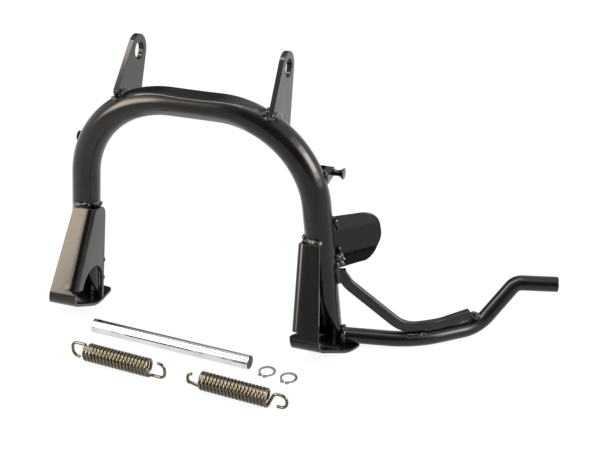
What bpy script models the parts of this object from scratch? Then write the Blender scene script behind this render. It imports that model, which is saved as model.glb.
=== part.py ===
"""Motorcycle centre stand with its loose fixings.

A bent tube arch carries two pivot lugs on top, a folded sheet shoe at each foot,
and a foot lever with its gusset and a step plate on the right leg. A pin on a
small bracket stands out from each leg for a return spring. The pivot shaft, its
two circlips and the two springs lie on the floor in front.

Metres, +Z up. X runs along the pivot line and +Y points away from the springs.
"""
import math

import bmesh
import bpy
from mathutils import Vector
from mathutils.geometry import tessellate_polygon

# Arch tube
TUBE_OD = 0.0280
TUBE_WALL = 0.0025
ARCH_HEIGHT = 0.2375
ARCH_FOOT_HALF = 0.1340
ARCH_BEND_RADIUS = 0.0960
LEG_SPLAY = math.radians(5.2)
TUBE_END_FRONT = 0.066
TUBE_CUT_MARGIN = 0.017
TUBE_ROW_MARGIN = 0.004
TUBE_ROW_LENGTH = 0.026
FLAT_HALF_LENGTH = 0.060
TOP_FLAT_DEPTH = 0.0034
TOP_FLAT_ANGLE = math.radians(84)
FRONT_FLAT_DEPTH = 0.0016
FRONT_FLAT_ANGLE = math.radians(-42)
TUBE_SIDES = 24

# Clearance left where two welded pieces meet
JOIN_GAP = 0.0003

# Pivot lugs
LUG_SPACING = 0.1528
LUG_THICKNESS = 0.0055
LUG_END_RADIUS = 0.0160
LUG_TAPER = math.radians(12.1)
LUG_LEANS = {"left": math.radians(54), "right": math.radians(65.5)}
PIVOT_BACK = 0.0404
PIVOT_RISE = 0.0309
SHAFT_DIAMETER = 0.0140
PIVOT_HOLE_PLAY = 0.0035
LUG_FRONT_LENGTH = 0.0500
LUG_BACK_LENGTH = 0.0620
LUG_FRONT_CORNER = 0.0030
LUG_BACK_CORNER = 0.0060

# Folded shoes
SHEET = 0.0030
SHOE_TOP = 0.1180
PLATE_LEAN = math.radians(27.8)
PLATE_WIDTH_TOP = 0.0230
PLATE_WIDTH_TOE = 0.0290
FOLD_RADIUS = 0.0070
TOE_RADIUS = 0.0125
SOLE_SLOPE = math.radians(29)
SOLE_BREAK = -0.0090
SOLE_BREAK_RADIUS = 0.0300
SOLE_HEEL_WIDTH = 0.0470
SOLE_INNER_LIP = 0.0020
SOLE_HEEL = 0.0060
TONGUE_END = 0.0265
TONGUE_WIDTH = 0.0260
TONGUE_RADIUS = 0.0060
SOLE_ROW_GAP = 0.0020
TONGUE_ROW_GAP = 0.0005
FLANGE_REAR_TOP = 0.0088
FLANGE_REAR_FOOT = 0.0055
FLANGE_CORNER = 0.0120
FLANGE_REAR_STRIP = 0.0040
ARCH_CUT_RADIUS = 0.0215
ARCH_CUT_HEIGHT = 0.0305
FLANGE_TOE_HEIGHT = 0.0440
FLANGE_LOW_STEP = 0.0040
FLANGE_TOP_DROP = 0.0060

# Foot lever
LEVER_DIAMETER = 0.0156
LEVER_FLOOR_GAP = 0.0003
LEVER_CORNER_X = (0.0802, 0.1340, 0.1636)
LEVER_CORNER_Y = (0.0210, 0.0656, 0.1013)
LEVER_RISE = 0.0368
LEVER_BELLY_RADIUS = 0.120
LEVER_KNEE_RADIUS = 0.045
LEVER_TIP_RADIUS = 0.014
LEVER_TIP_LENGTH = 0.0420
LEVER_TIP_HEADING = math.radians(14)
LEVER_CHAMFER = 0.0010
LEVER_SEAT = 0.0008
LEVER_ROOT_LIFT = 0.0007

# Lever gusset, a flat bar on edge
GUSSET_DEPTH = 0.0105
GUSSET_THICKNESS = 0.0060
GUSSET_DROP = 0.0190
GUSSET_SEAT_GAP = 0.0005
GUSSET_ROOT_SET_BACK = 0.0073
GUSSET_LIFT_RADIUS = 0.0600
GUSSET_BEND_DROP = 0.0112
GUSSET_BEND_LEAN = 0.0008
GUSSET_LANDING = 0.0590
GUSSET_LIFT_START = 0.0980
GUSSET_END = 0.1280
GUSSET_END_LIFT = 0.0035
GUSSET_UPPER_RADIUS = 0.0260
GUSSET_LOWER_RADIUS = 0.0350

# Step plate, a trough of folded sheet
STEP_HEIGHT = 0.1043
STEP_HEADING = math.radians(30)
STEP_TILT = math.radians(10)
STEP_LENGTH = 0.0477
STEP_WEB = 0.0255
STEP_TOP_LIP = 0.0200
STEP_TOP_LEAN = math.radians(15)
STEP_TOP_FOLD = 0.0040
STEP_TOP_EDGE = 0.0339
STEP_TOP_FALL = 0.0085
STEP_TOP_CORNER = 0.0190
STEP_LOW_LIP = 0.0125
STEP_LOW_LEAN = math.radians(38)
STEP_LOW_FOLD = 0.0070
STEP_LOW_EDGE = 0.0222
STEP_LOW_CORNER = 0.0260
STEP_NOTCH_LENGTH = 0.0198
STEP_NOTCH_TOP = 0.0138
STEP_SHEET = 0.0030
STEP_SET_BACK = 0.0043
STEP_ROOT = 0.0020
STEP_CUTTER_DEPTH = 0.0600

# Spring pegs and their brackets
PEG_HEIGHT = 0.1760
PEG_BACK = 0.0245
PEG_LENGTH = 0.0106
PEG_WAIST = 0.0056
PEG_ROOT = 0.0062
PEG_HEAD = 0.0110
PEG_BRACKET_START = 0.0010
PEG_BRACKET_WIDTH = 0.0135
PEG_WEDGE_WIDTH = 0.0062
PEG_BRACKET_RADIUS = 0.0053
PEG_BRACKET_DROP = 0.0128
PEG_BRACKET_REACH = 0.0172
PEG_WEDGE_TIP = 0.0055
PEG_WEDGE_FLAT = 0.0022

# Pivot shaft and circlips
SHAFT_LENGTH = 0.1726
SHAFT_CHAMFER = 0.0006
CLIP_GROOVE_INSET = 0.0030
CLIP_THICKNESS = 0.0010
CLIP_GROOVE_DEPTH = 0.0005
CLIP_GROOVE_PLAY = 0.0001
CLIP_FREE_PLAY = -0.0006
CLIP_BAND = 0.0020
CLIP_EAR_RADIUS = 0.0020
CLIP_EAR_HOLE = 0.0016
CLIP_OPENING = math.radians(17)
CLIP_EAR_SPAN = math.radians(20)
CLIP_BAND_SHIFT = 0.00044

# Return springs
SPRING_WIRE = 0.0030
SPRING_OD = 0.0185
SPRING_PITCH = 0.00366
SPRING_TURNS = 19
SPRING_STEPS = 12
SPRING_SIDES = 6
HOOK_ROOT_RADIUS = 0.0022
HOOK_BEND_RADIUS = 0.0060

# Where the loose pieces lie, from the middle of the arch
SHAFT_PLACE = (-0.0108, -0.0593, math.radians(-3.9))
LEFT_SPRING_PLACE = (-0.0448, -0.1046, math.radians(-4.7))
RIGHT_SPRING_PLACE = (0.0779, -0.1135, math.radians(-5.1))
CLIP_PLACES = ((0.0925, -0.0655, math.radians(-14)), (0.1155, -0.0688, math.radians(-10)))

TUBE_R = TUBE_OD / 2
LEVER_R = LEVER_DIAMETER / 2
LEG_SLOPE = math.tan(LEG_SPLAY)


# General helpers

def clear_scene():
    """Remove every object so that the script can be run again."""
    for item in list(bpy.data.objects):
        bpy.data.objects.remove(item, do_unlink=True)


def make_material(name, colour, roughness, metallic):
    """Return a Principled material."""
    material = bpy.data.materials.new(name)
    material.use_nodes = True
    shader = material.node_tree.nodes["Principled BSDF"]
    shader.inputs["Base Color"].default_value = (*colour, 1.0)
    shader.inputs["Roughness"].default_value = roughness
    shader.inputs["Metallic"].default_value = metallic
    return material


def add_object(name, verts, faces, material):
    """Turn points and faces into one closed body with its normals outward."""
    bm = bmesh.new()
    points = [bm.verts.new(v) for v in verts]
    for face in faces:
        bm.faces.new([points[i] for i in face])
    bmesh.ops.remove_doubles(bm, verts=bm.verts, dist=2e-6)
    bmesh.ops.dissolve_degenerate(bm, edges=bm.edges, dist=1e-6)
    bmesh.ops.recalc_face_normals(bm, faces=bm.faces)
    mesh = bpy.data.meshes.new(name)
    bm.to_mesh(mesh)
    bm.free()
    item = bpy.data.objects.new(name, mesh)
    bpy.context.scene.collection.objects.link(item)
    if material is not None:
        mesh.materials.append(material)
    return item


def cut_away(item, cutter, operation="DIFFERENCE"):
    """Cut one object with another that isn't itself a piece."""
    cutter.hide_render = True
    cutter.display_type = "WIRE"
    modifier = item.modifiers.new("cut", "BOOLEAN")
    modifier.operation = operation
    modifier.object = cutter
    modifier.solver = "EXACT"


def arc(centre, radius, start, end, steps):
    """Points of a circular arc in a plane, as (x, y) pairs."""
    points = []
    for i in range(steps + 1):
        angle = start + (end - start) * i / steps
        points.append((centre[0] + radius * math.cos(angle), centre[1] + radius * math.sin(angle)))
    return points


def filleted(corners, radii, step):
    """A polyline whose inner corners are rounded to the given radii."""
    corners = [Vector(c) for c in corners]
    points = [corners[0]]
    for before, corner, after, radius in zip(corners, corners[1:], corners[2:], radii):
        back = (before - corner).normalized()
        ahead = (after - corner).normalized()
        half = back.angle(ahead) / 2
        reach = min((before - corner).length, (after - corner).length) * 0.98
        radius = min(radius, reach * math.tan(half))
        centre = corner + (back + ahead).normalized() * radius / math.sin(half)
        first = corner + back * radius / math.tan(half) - centre
        last = corner + ahead * radius / math.tan(half) - centre
        turn = math.pi - 2 * half
        count = max(2, math.ceil(turn / step))
        for i in range(count + 1):
            share = i / count
            blend = first * math.sin((1 - share) * turn) + last * math.sin(share * turn)
            points.append(centre + blend / math.sin(turn))
    points.append(corners[-1])
    return points


def circle_section(radius, sides):
    """A round section for a sweep."""
    return [(radius * math.cos(2 * math.pi * i / sides), radius * math.sin(2 * math.pi * i / sides))
            for i in range(sides)]


def tangents_of(path):
    """The direction of a polyline at each of its points."""
    result = []
    for i, point in enumerate(path):
        before = path[max(i - 1, 0)]
        after = path[min(i + 1, len(path) - 1)]
        result.append((after - before).normalized())
    return result


def rings_to_mesh(rings):
    """Join rings of equal size into a capped skin."""
    size = len(rings[0])
    verts = [point for ring in rings for point in ring]
    faces = []
    for row in range(len(rings) - 1):
        for i in range(size):
            j = (i + 1) % size
            low = row * size
            faces.append((low + i, low + j, low + size + j, low + size + i))
    faces.append(tuple(range(size)))
    faces.append(tuple(range(len(verts) - size, len(verts))))
    return verts, faces


def swept(path, section, side):
    """Sweep a section along a path with as little twist as possible."""
    rings = []
    side = Vector(side)
    for point, tangent in zip(path, tangents_of(path)):
        side = (side - tangent * side.dot(tangent)).normalized()
        up = tangent.cross(side)
        rings.append([point + side * u + up * v for u, v in section])
    return rings_to_mesh(rings)


def turned(profile, sides):
    """Revolve (along, radius) pairs about the X axis."""
    rings = []
    for along, radius in profile:
        rings.append([Vector((along, u, v)) for u, v in circle_section(radius, sides)])
    return rings_to_mesh(rings)


def plate(outline, holes, thickness):
    """A flat plate in the XY plane, from z = 0 up to its thickness."""
    loops = [outline] + holes
    flat = [point for loop in loops for point in loop]
    count = len(flat)
    verts = [Vector((x, y, 0)) for x, y in flat] + [Vector((x, y, thickness)) for x, y in flat]
    faces = []
    for a, b, c in tessellate_polygon([[Vector((x, y, 0)) for x, y in loop] for loop in loops]):
        faces.append((a, b, c))
        faces.append((a + count, b + count, c + count))
    start = 0
    for loop in loops:
        for i in range(len(loop)):
            a = start + i
            b = start + (i + 1) % len(loop)
            faces.append((a, b, b + count, a + count))
        start += len(loop)
    return verts, faces


def upright(verts, x):
    """Stand a flat plate up in the YZ plane, its thickness centred on x."""
    middle = max(v.z for v in verts) / 2
    return [Vector((x - middle + v.z, v.x, v.y)) for v in verts]


def mirrored(verts):
    """The same points on the other side of the middle plane."""
    return [Vector((-v[0], v[1], v[2])) for v in verts]


# Arch tube

def arch_corner_x():
    """Half the distance between the corners of the arch's centre line."""
    return ARCH_FOOT_HALF - ARCH_HEIGHT * LEG_SLOPE


def arch_path():
    """The arch's centre line from the left foot over the top to the right foot."""
    corner = arch_corner_x()
    corners = [(-ARCH_FOOT_HALF, 0, 0), (-corner, 0, ARCH_HEIGHT),
               (corner, 0, ARCH_HEIGHT), (ARCH_FOOT_HALF, 0, 0)]
    points = filleted(corners, [ARCH_BEND_RADIUS] * 2, math.radians(7.5))
    dense = []
    for before, after in zip(points, points[1:]):
        pieces = max(1, round((after - before).length / TUBE_ROW_LENGTH))
        if abs(before.z - after.z) < 1e-6:
            pieces = 6
        for i in range(pieces):
            dense.append(before.lerp(after, i / pieces))
    dense.append(points[-1])
    return dense


def bend_centre():
    """Centre of the right shoulder's bend, as (x, z)."""
    tangent = ARCH_BEND_RADIUS * math.tan((math.pi / 2 - LEG_SPLAY) / 2)
    return arch_corner_x() - tangent, ARCH_HEIGHT - ARCH_BEND_RADIUS


def leg_axis_x(height):
    """The straight leg's axis at a height, on the right side."""
    return ARCH_FOOT_HALF - height * LEG_SLOPE


def pressed(across, up, x, radius):
    """Flatten a point of the tube's section where the press gripped the top."""
    share = max(0.0, 1 - (x / FLAT_HALF_LENGTH) ** 2)
    for angle, depth in ((TOP_FLAT_ANGLE, TOP_FLAT_DEPTH), (FRONT_FLAT_ANGLE, FRONT_FLAT_DEPTH)):
        limit = radius - depth * share
        reach = across * math.cos(angle) + up * math.sin(angle)
        if reach > limit:
            across -= (reach - limit) * math.cos(angle)
            up -= (reach - limit) * math.sin(angle)
    return across, up


def tube_end_height(y):
    """The tube's lower end: cut away in front, down on the sole at the back."""
    back = SHEET + JOIN_GAP
    share = min(1.0, max(0.0, (TUBE_R - y) / TUBE_OD))
    return back + (TUBE_END_FRONT - back) * (1 - math.sqrt(1 - share ** 2))


def arch_rings(radius, shaped):
    """Rings of points around the arch's centre line."""
    rings = []
    path = arch_path()
    last = len(path) - 1
    for i, (point, tangent) in enumerate(zip(path, tangents_of(path))):
        outward = Vector((-tangent.z, 0, tangent.x))
        ring = []
        for u, v in circle_section(radius, TUBE_SIDES):
            if shaped and 0 < i < last:
                u, v = pressed(u, v, point.x, radius)
            place = point + Vector((0, -u, 0)) + outward * v
            if shaped and point.z < TUBE_END_FRONT + TUBE_CUT_MARGIN:
                wanted = tube_end_height(place.y)
                if i in (0, last) or place.z < wanted:
                    place += tangent * (wanted - place.z) / tangent.z
            ring.append(place)
        rings.append(ring)
    return rings


def build_arch(material):
    """The hollow arch tube."""
    outer = arch_rings(TUBE_R, True)
    inner = arch_rings(TUBE_R - TUBE_WALL, True)
    keep = [0] + [i for i in range(1, len(outer) - 1) if min(p.z for p in outer[i]) >
                  max(tube_end_height(p.y) for p in outer[i]) - TUBE_ROW_MARGIN] + [len(outer) - 1]
    size = TUBE_SIDES
    verts = []
    faces = []
    for rings in (outer, inner):
        start = len(verts)
        for row, index in enumerate(keep):
            verts.extend(rings[index])
            if row:
                low = start + (row - 1) * size
                for i in range(size):
                    j = (i + 1) % size
                    faces.append((low + i, low + j, low + size + j, low + size + i))
    shift = len(keep) * size
    for low in (0, (len(keep) - 1) * size):
        for i in range(size):
            j = (i + 1) % size
            faces.append((low + i, low + j, low + shift + j, low + shift + i))
    return add_object("arch_tube", verts, faces, material)


def arch_cutter():
    """The arch's outer skin with the joint gap added, for cutting saddles."""
    verts, faces = rings_to_mesh(arch_rings(TUBE_R + JOIN_GAP, False))
    return add_object("cutter_arch", verts, faces, None)


# Pivot lugs

def lug_outline(lean):
    """The lug's edge in the YZ plane: a round end whose straight sides widen to its foot."""
    points = arc((0, 0), LUG_END_RADIUS, math.pi - LUG_TAPER, LUG_TAPER, 12)
    corners = []
    for way, length in ((1, LUG_FRONT_LENGTH), (-1, LUG_BACK_LENGTH)):
        half = LUG_END_RADIUS / math.cos(LUG_TAPER) + length * math.tan(LUG_TAPER)
        corners.append((way * half, -length, 0))
    foot = filleted([(*points[-1], 0)] + corners + [(*points[0], 0)],
                    [LUG_FRONT_CORNER, LUG_BACK_CORNER], math.radians(30))
    points.extend((p.x, p.y) for p in foot[1:-1])
    placed = []
    for across, along in points:
        placed.append((PIVOT_BACK + along * math.cos(lean) - across * math.sin(lean),
                       ARCH_HEIGHT + PIVOT_RISE + along * math.sin(lean) + across * math.cos(lean)))
    return placed


def build_lug(name, side, lean, cutter, material):
    """One pivot lug, saddled on the arch."""
    hole = arc((PIVOT_BACK, ARCH_HEIGHT + PIVOT_RISE), (SHAFT_DIAMETER + PIVOT_HOLE_PLAY) / 2,
               0, 2 * math.pi, 24)[:-1]
    verts, faces = plate(lug_outline(lean), [hole], LUG_THICKNESS)
    item = add_object(name, upright(verts, side * LUG_SPACING / 2), faces, material)
    cut_away(item, cutter)
    return item


# Folded shoes

def shoe_line():
    """The shoe's outer line in the YZ plane from plate top to tongue."""
    lean = math.tan(PLATE_LEAN)
    slope = math.tan(SOLE_SLOPE)
    top_y = -TUBE_R - JOIN_GAP - SHEET * math.cos(PLATE_LEAN)
    toe_z = (SOLE_BREAK - top_y + lean * SHOE_TOP) * slope / (1 + lean * slope)
    toe_y = top_y - lean * (SHOE_TOP - toe_z)
    corners = [(0, top_y, SHOE_TOP), (0, toe_y, toe_z), (0, SOLE_BREAK, 0), (0, TONGUE_END, 0)]
    return corners, toe_z


def offset_line(points, distance):
    """A YZ polyline moved sideways, to the left of its own direction."""
    result = []
    for point, tangent in zip(points, tangents_of(points)):
        result.append(point + Vector((0, -tangent.z, tangent.y)) * distance)
    return result


def shoe_inner_x():
    """Outer face of the inner flange, measured with the leg upright."""
    return ARCH_FOOT_HALF - TUBE_R - JOIN_GAP - SHEET


def shoe_stations():
    """Outer line, inner line and edge places of the plate, toe and sole."""
    corners, toe_z = shoe_line()
    rounded = filleted(corners, [TOE_RADIUS, SOLE_BREAK_RADIUS], math.radians(14))
    plate_end = rounded[1]
    fold_end = corners[0][2] - FLANGE_TOE_HEIGHT
    share = fold_end / (corners[0][2] - plate_end.z)
    top = rounded[0]
    folded = [top.lerp(plate_end, min(share, 0.96) * i / 5) for i in range(6)]
    line = folded + rounded[1:-1]
    tail = rounded[-1]
    for y in (SOLE_HEEL, 0.5 * (SOLE_HEEL + TONGUE_END)):
        if y > line[-1].y + SOLE_ROW_GAP:
            line.append(Vector((0, y, 0)))
    for angle in (0, 30, 60, 90):
        y = tail.y - TONGUE_RADIUS * (1 - math.sin(math.radians(angle)))
        if y > line[-1].y + TONGUE_ROW_GAP:
            line.append(Vector((0, y, 0)))
    return line, len(folded) - 1, toe_z


def shoe_edges(point, index, fold_row, toe_z):
    """Inner and outer edge of the sheet at one station."""
    inner = shoe_inner_x()
    leg_drop = (SHOE_TOP - point.z) / (SHOE_TOP - toe_z)
    on_plate = index <= fold_row or point.z > toe_z
    width = PLATE_WIDTH_TOP + (PLATE_WIDTH_TOE - PLATE_WIDTH_TOP) * min(1.0, leg_drop)
    if not on_plate:
        reach = (point.y - shoe_line()[0][1][1]) / (SOLE_HEEL - shoe_line()[0][1][1])
        width = PLATE_WIDTH_TOE + (SOLE_HEEL_WIDTH - PLATE_WIDTH_TOE) * min(1.0, max(0.0, reach))
    if point.y > SOLE_HEEL:
        reach = (point.y - SOLE_HEEL) / (TONGUE_END - TONGUE_RADIUS * 0.3 - SOLE_HEEL)
        width = SOLE_HEEL_WIDTH + (TONGUE_WIDTH - SOLE_HEEL_WIDTH) * min(1.0, reach)
    start = inner + (FOLD_RADIUS if index <= fold_row else -SOLE_INNER_LIP)
    finish = inner + width
    rounding = max(0.0, point.y - (TONGUE_END - TONGUE_RADIUS))
    if rounding > 0 and point.z < SHEET:
        inset = TONGUE_RADIUS - math.sqrt(max(0.0, TONGUE_RADIUS ** 2 - rounding ** 2))
        start += inset
        finish -= inset
    return start, finish


def flange_outline(line, fold_row):
    """The inner flange's edge in the YZ plane, in two parts.

    The first part is the edge along the fold, which the fold's own rows share.
    """
    normal = Vector((0, math.cos(PLATE_LEAN), -math.sin(PLATE_LEAN)))
    fold = [point + normal * FOLD_RADIUS for point in line[:fold_row + 1]]
    low = fold[-1]
    centre = Vector((0, FLANGE_REAR_FOOT - FLANGE_REAR_STRIP - ARCH_CUT_RADIUS, ARCH_CUT_HEIGHT))
    lift = low.z - centre.z
    lift = max(-0.9 * ARCH_CUT_RADIUS, min(0.6 * ARCH_CUT_RADIUS, lift - FLANGE_LOW_STEP))
    start_angle = math.pi - math.asin(lift / ARCH_CUT_RADIUS)
    rest = [Vector((0, y, z)) for y, z in arc((centre.y, centre.z), ARCH_CUT_RADIUS, start_angle, 0, 12)]
    rest = [p for p in rest if p.y > low.y + FLANGE_LOW_STEP]
    foot_z = SHEET + JOIN_GAP
    rest.append(Vector((0, centre.y + ARCH_CUT_RADIUS, foot_z)))
    rest.append(Vector((0, FLANGE_REAR_FOOT, foot_z)))
    rear_top = (0, FLANGE_REAR_TOP, SHOE_TOP - FLANGE_TOP_DROP)
    corner = filleted([(0, FLANGE_REAR_FOOT, foot_z), rear_top, fold[0]], [FLANGE_CORNER],
                      math.radians(20))
    rest.extend(corner[1:-1])
    return fold, rest


def build_shoe(name, side, material):
    """One shoe folded from sheet: front plate, inner flange and sole."""
    line, fold_row, toe_z = shoe_stations()
    inside = offset_line(line, SHEET)
    inside[0] = line[0] + Vector((0, math.cos(PLATE_LEAN), -math.sin(PLATE_LEAN))) * SHEET
    verts = []
    faces = []

    def put(x, point):
        verts.append(Vector((x, point.y, point.z)))
        return len(verts) - 1

    rows = []
    for i, (outer, inner) in enumerate(zip(line, inside)):
        start, finish = shoe_edges(outer, i, fold_row, toe_z)
        rows.append((put(start, outer), put(finish, outer), put(finish, inner), put(start, inner)))
    for i, (a, b) in enumerate(zip(rows, rows[1:])):
        for k in range(4):
            if k == 3 and i < fold_row:
                continue
            m = (k + 1) % 4
            faces.append((a[k], a[m], b[m], b[k]))
    faces.append(rows[0])
    faces.append(rows[-1])
    fold, rest = flange_outline(line, fold_row)
    bend_x = shoe_inner_x() + FOLD_RADIUS
    steps = 5
    bands = []
    for point in line[:fold_row + 1]:
        for radius in (FOLD_RADIUS, FOLD_RADIUS - SHEET):
            centre = point + Vector((0, math.cos(PLATE_LEAN), -math.sin(PLATE_LEAN))) * FOLD_RADIUS
            band = []
            for k in range(steps + 1):
                turn = math.pi / 2 * k / steps
                lift = radius * math.cos(turn)
                spot = centre - Vector((0, math.cos(PLATE_LEAN), -math.sin(PLATE_LEAN))) * lift
                band.append(put(bend_x - radius * math.sin(turn), spot))
            bands.append(band)
    for row in range(fold_row):
        for layer in (0, 1):
            near = bands[2 * row + layer]
            far = bands[2 * row + 2 + layer]
            for k in range(steps):
                faces.append((near[k], near[k + 1], far[k + 1], far[k]))
    for row in (0, fold_row):
        outer, inner = bands[2 * row], bands[2 * row + 1]
        for k in range(steps):
            faces.append((outer[k], outer[k + 1], inner[k + 1], inner[k]))
    outline = fold + rest
    for x in (shoe_inner_x(), shoe_inner_x() + SHEET):
        start = len(verts)
        for point in outline:
            put(x, point)
        flat = [[Vector((p.y, p.z, 0)) for p in outline]]
        for tri in tessellate_polygon(flat):
            faces.append(tuple(start + i for i in tri))
    count = len(outline)
    start = len(verts) - 2 * count
    for i in range(fold_row, count):
        j = (i + 1) % count
        faces.append((start + i, start + j, start + count + j, start + count + i))
    shaped = [Vector((v.x - v.z * LEG_SLOPE, v.y, v.z)) for v in verts]
    if side < 0:
        shaped = mirrored(shaped)
    return add_object(name, shaped, faces, material)


# Foot lever and its gusset

def lever_path():
    """Centre line of the lever from the leg's outer side to its tip."""
    belly = LEVER_R + LEVER_FLOOR_GAP
    root_z = SHEET + JOIN_GAP + LEVER_R + LEVER_ROOT_LIFT
    axis = Vector((leg_axis_x(root_z), 0, root_z))
    corners = [Vector((ARCH_FOOT_HALF + x, y, z)) for x, y, z in
               zip(LEVER_CORNER_X, LEVER_CORNER_Y, (belly, belly, belly + LEVER_RISE))]
    away = corners[0] - axis
    away.z = 0
    away.normalize()
    root = axis + away * (TUBE_R + JOIN_GAP + LEVER_SEAT)
    heading = Vector((math.cos(LEVER_TIP_HEADING), math.sin(LEVER_TIP_HEADING), 0))
    tip = corners[-1] + heading * LEVER_TIP_LENGTH
    return filleted([root] + corners + [tip],
                    [LEVER_BELLY_RADIUS, LEVER_KNEE_RADIUS, LEVER_TIP_RADIUS], math.radians(11))


def build_lever(material):
    """The bent round bar that the rider treads on."""
    path = lever_path()
    direction = (path[-1] - path[-2]).normalized()
    shoulder = path[-1] - direction * LEVER_CHAMFER
    path.insert(-1, shoulder)
    verts, faces = swept(path, circle_section(LEVER_R, 16), (0, 0, 1))
    centre = path[-1]
    for i in range(len(verts) - 16, len(verts)):
        verts[i] = centre + (verts[i] - centre) * (LEVER_R - LEVER_CHAMFER) / LEVER_R
    return add_object("foot_lever", verts, faces, material)


def along_lever(distance):
    """Plan place and heading of the lever at a distance from its root."""
    path = [Vector((p.x, p.y, 0)) for p in lever_path()]
    heights = [p.z for p in lever_path()]
    for i in range(len(path) - 1):
        step = (path[i + 1] - path[i]).length
        if distance <= step or i == len(path) - 2:
            share = distance / step
            place = path[i].lerp(path[i + 1], share)
            height = heights[i] + (heights[i + 1] - heights[i]) * share
            return place, (path[i + 1] - path[i]).normalized(), height
        distance -= step
    return path[-1], Vector((1, 0, 0)), heights[-1]


def build_gusset(material):
    """The flat bar that ties the leg to the lever, on edge over the lever."""
    seat = LEVER_R + GUSSET_SEAT_GAP + GUSSET_DEPTH / 2
    rest_z = LEVER_FLOOR_GAP + LEVER_R + seat
    end_z = along_lever(GUSSET_END)[2] + seat + GUSSET_END_LIFT
    root = GUSSET_DEPTH / 2 - GUSSET_ROOT_SET_BACK
    top = STEP_HEIGHT - GUSSET_DROP
    corners = [(root, 0, top), (root + GUSSET_BEND_LEAN, 0, top - GUSSET_BEND_DROP),
               (GUSSET_LANDING, 0, rest_z), (GUSSET_LIFT_START, 0, rest_z), (GUSSET_END, 0, end_z)]
    radii = [GUSSET_UPPER_RADIUS, GUSSET_LOWER_RADIUS, GUSSET_LIFT_RADIUS]
    line = filleted(corners, radii, math.radians(12))
    rings = []
    half_d = GUSSET_DEPTH / 2
    half_t = GUSSET_THICKNESS / 2
    for point, tangent in zip(line, tangents_of(line)):
        place, heading, _ = along_lever(max(0.0, point.x))
        place = place + heading * min(0.0, point.x)
        side = Vector((heading.y, -heading.x, 0))
        forward = heading * tangent.x + Vector((0, 0, tangent.z))
        up = side.cross(forward)
        centre = Vector((place.x, place.y, point.z))
        rings.append([centre + side * u + up * v for u, v in
                      ((-half_t, -half_d), (half_t, -half_d), (half_t, half_d), (-half_t, half_d))])
    verts, faces = rings_to_mesh(rings)
    return add_object("lever_gusset", verts, faces, material)


# Step plate

def build_step_plate(cutter, material):
    """The trough that stands off the back of the right leg."""
    out = Vector((math.cos(STEP_HEADING) * math.cos(STEP_TILT),
                  math.sin(STEP_HEADING) * math.cos(STEP_TILT), math.sin(STEP_TILT)))
    front = Vector((math.sin(STEP_HEADING), -math.cos(STEP_HEADING), 0))
    up = front.cross(out)
    origin = Vector((leg_axis_x(STEP_HEIGHT), 0, STEP_HEIGHT)) - front * STEP_SET_BACK
    half = STEP_WEB / 2
    corners = [(0, STEP_TOP_LIP * math.sin(STEP_TOP_LEAN), half + STEP_TOP_LIP * math.cos(STEP_TOP_LEAN)),
               (0, 0, half), (0, 0, -half),
               (0, STEP_LOW_LIP * math.sin(STEP_LOW_LEAN), -half - STEP_LOW_LIP * math.cos(STEP_LOW_LEAN))]
    line = filleted(corners, [STEP_TOP_FOLD, STEP_LOW_FOLD], math.radians(13))
    back = offset_line(line, -STEP_SHEET)
    section = [(p.y, p.z) for p in line] + [(p.y, p.z) for p in reversed(back)]
    rings = []
    for along in (STEP_ROOT, TUBE_R + STEP_LENGTH):
        rings.append([origin + out * along + front * u + up * v for u, v in section])
    verts, faces = rings_to_mesh(rings)
    item = add_object("step_plate", verts, faces, material)
    length = TUBE_R + STEP_LENGTH
    end = filleted([(0, STEP_TOP_EDGE, 0), (length, STEP_TOP_EDGE - STEP_TOP_FALL, 0),
                    (length, -STEP_LOW_EDGE, 0), (STEP_NOTCH_LENGTH, -STEP_LOW_EDGE, 0)],
                   [STEP_TOP_CORNER, STEP_LOW_CORNER], math.radians(12))
    notch = [(STEP_NOTCH_LENGTH, -STEP_NOTCH_TOP), (0, -STEP_NOTCH_TOP)]
    edge = [(p.x, p.y) for p in end] + notch
    verts, faces = plate(edge, [], STEP_CUTTER_DEPTH)
    placed = [origin + out * v.x + up * v.y + front * (v.z - STEP_CUTTER_DEPTH / 2) for v in verts]
    outline = add_object("cutter_step_outline", placed, faces, None)
    cut_away(item, outline, "INTERSECT")
    cut_away(item, cutter)
    return item


# Spring pegs

def leg_point(height):
    """The arch's centre line at a height on the right side, bend included."""
    centre_x, centre_z = bend_centre()
    tangent_z = centre_z + ARCH_BEND_RADIUS * math.sin(LEG_SPLAY)
    if height > tangent_z:
        rise = min(height - centre_z, ARCH_BEND_RADIUS)
        return centre_x + math.sqrt(ARCH_BEND_RADIUS ** 2 - rise ** 2)
    return leg_axis_x(height)


def bracket_start_x():
    """Inner side of the peg bracket, a little outside the leg's axis."""
    return leg_point(PEG_HEIGHT) + PEG_BRACKET_START


def bracket_block(width, drop):
    """A block round the peg's axis, from the bracket's inner side outward."""
    front = PEG_BACK - PEG_BRACKET_REACH
    outline = arc((PEG_BACK, PEG_HEIGHT), PEG_BRACKET_RADIUS, math.radians(-50), math.radians(90), 7)
    outline.append((front, PEG_HEIGHT + PEG_BRACKET_RADIUS))
    outline.append((front, PEG_HEIGHT - PEG_BRACKET_RADIUS))
    if drop > PEG_BRACKET_RADIUS:
        outline.append((PEG_BACK - PEG_WEDGE_TIP - PEG_WEDGE_FLAT, PEG_HEIGHT - drop))
        outline.append((PEG_BACK - PEG_WEDGE_TIP, PEG_HEIGHT - drop))
    verts, faces = plate(outline, [], width)
    return upright(verts, bracket_start_x() + width / 2), faces


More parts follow.
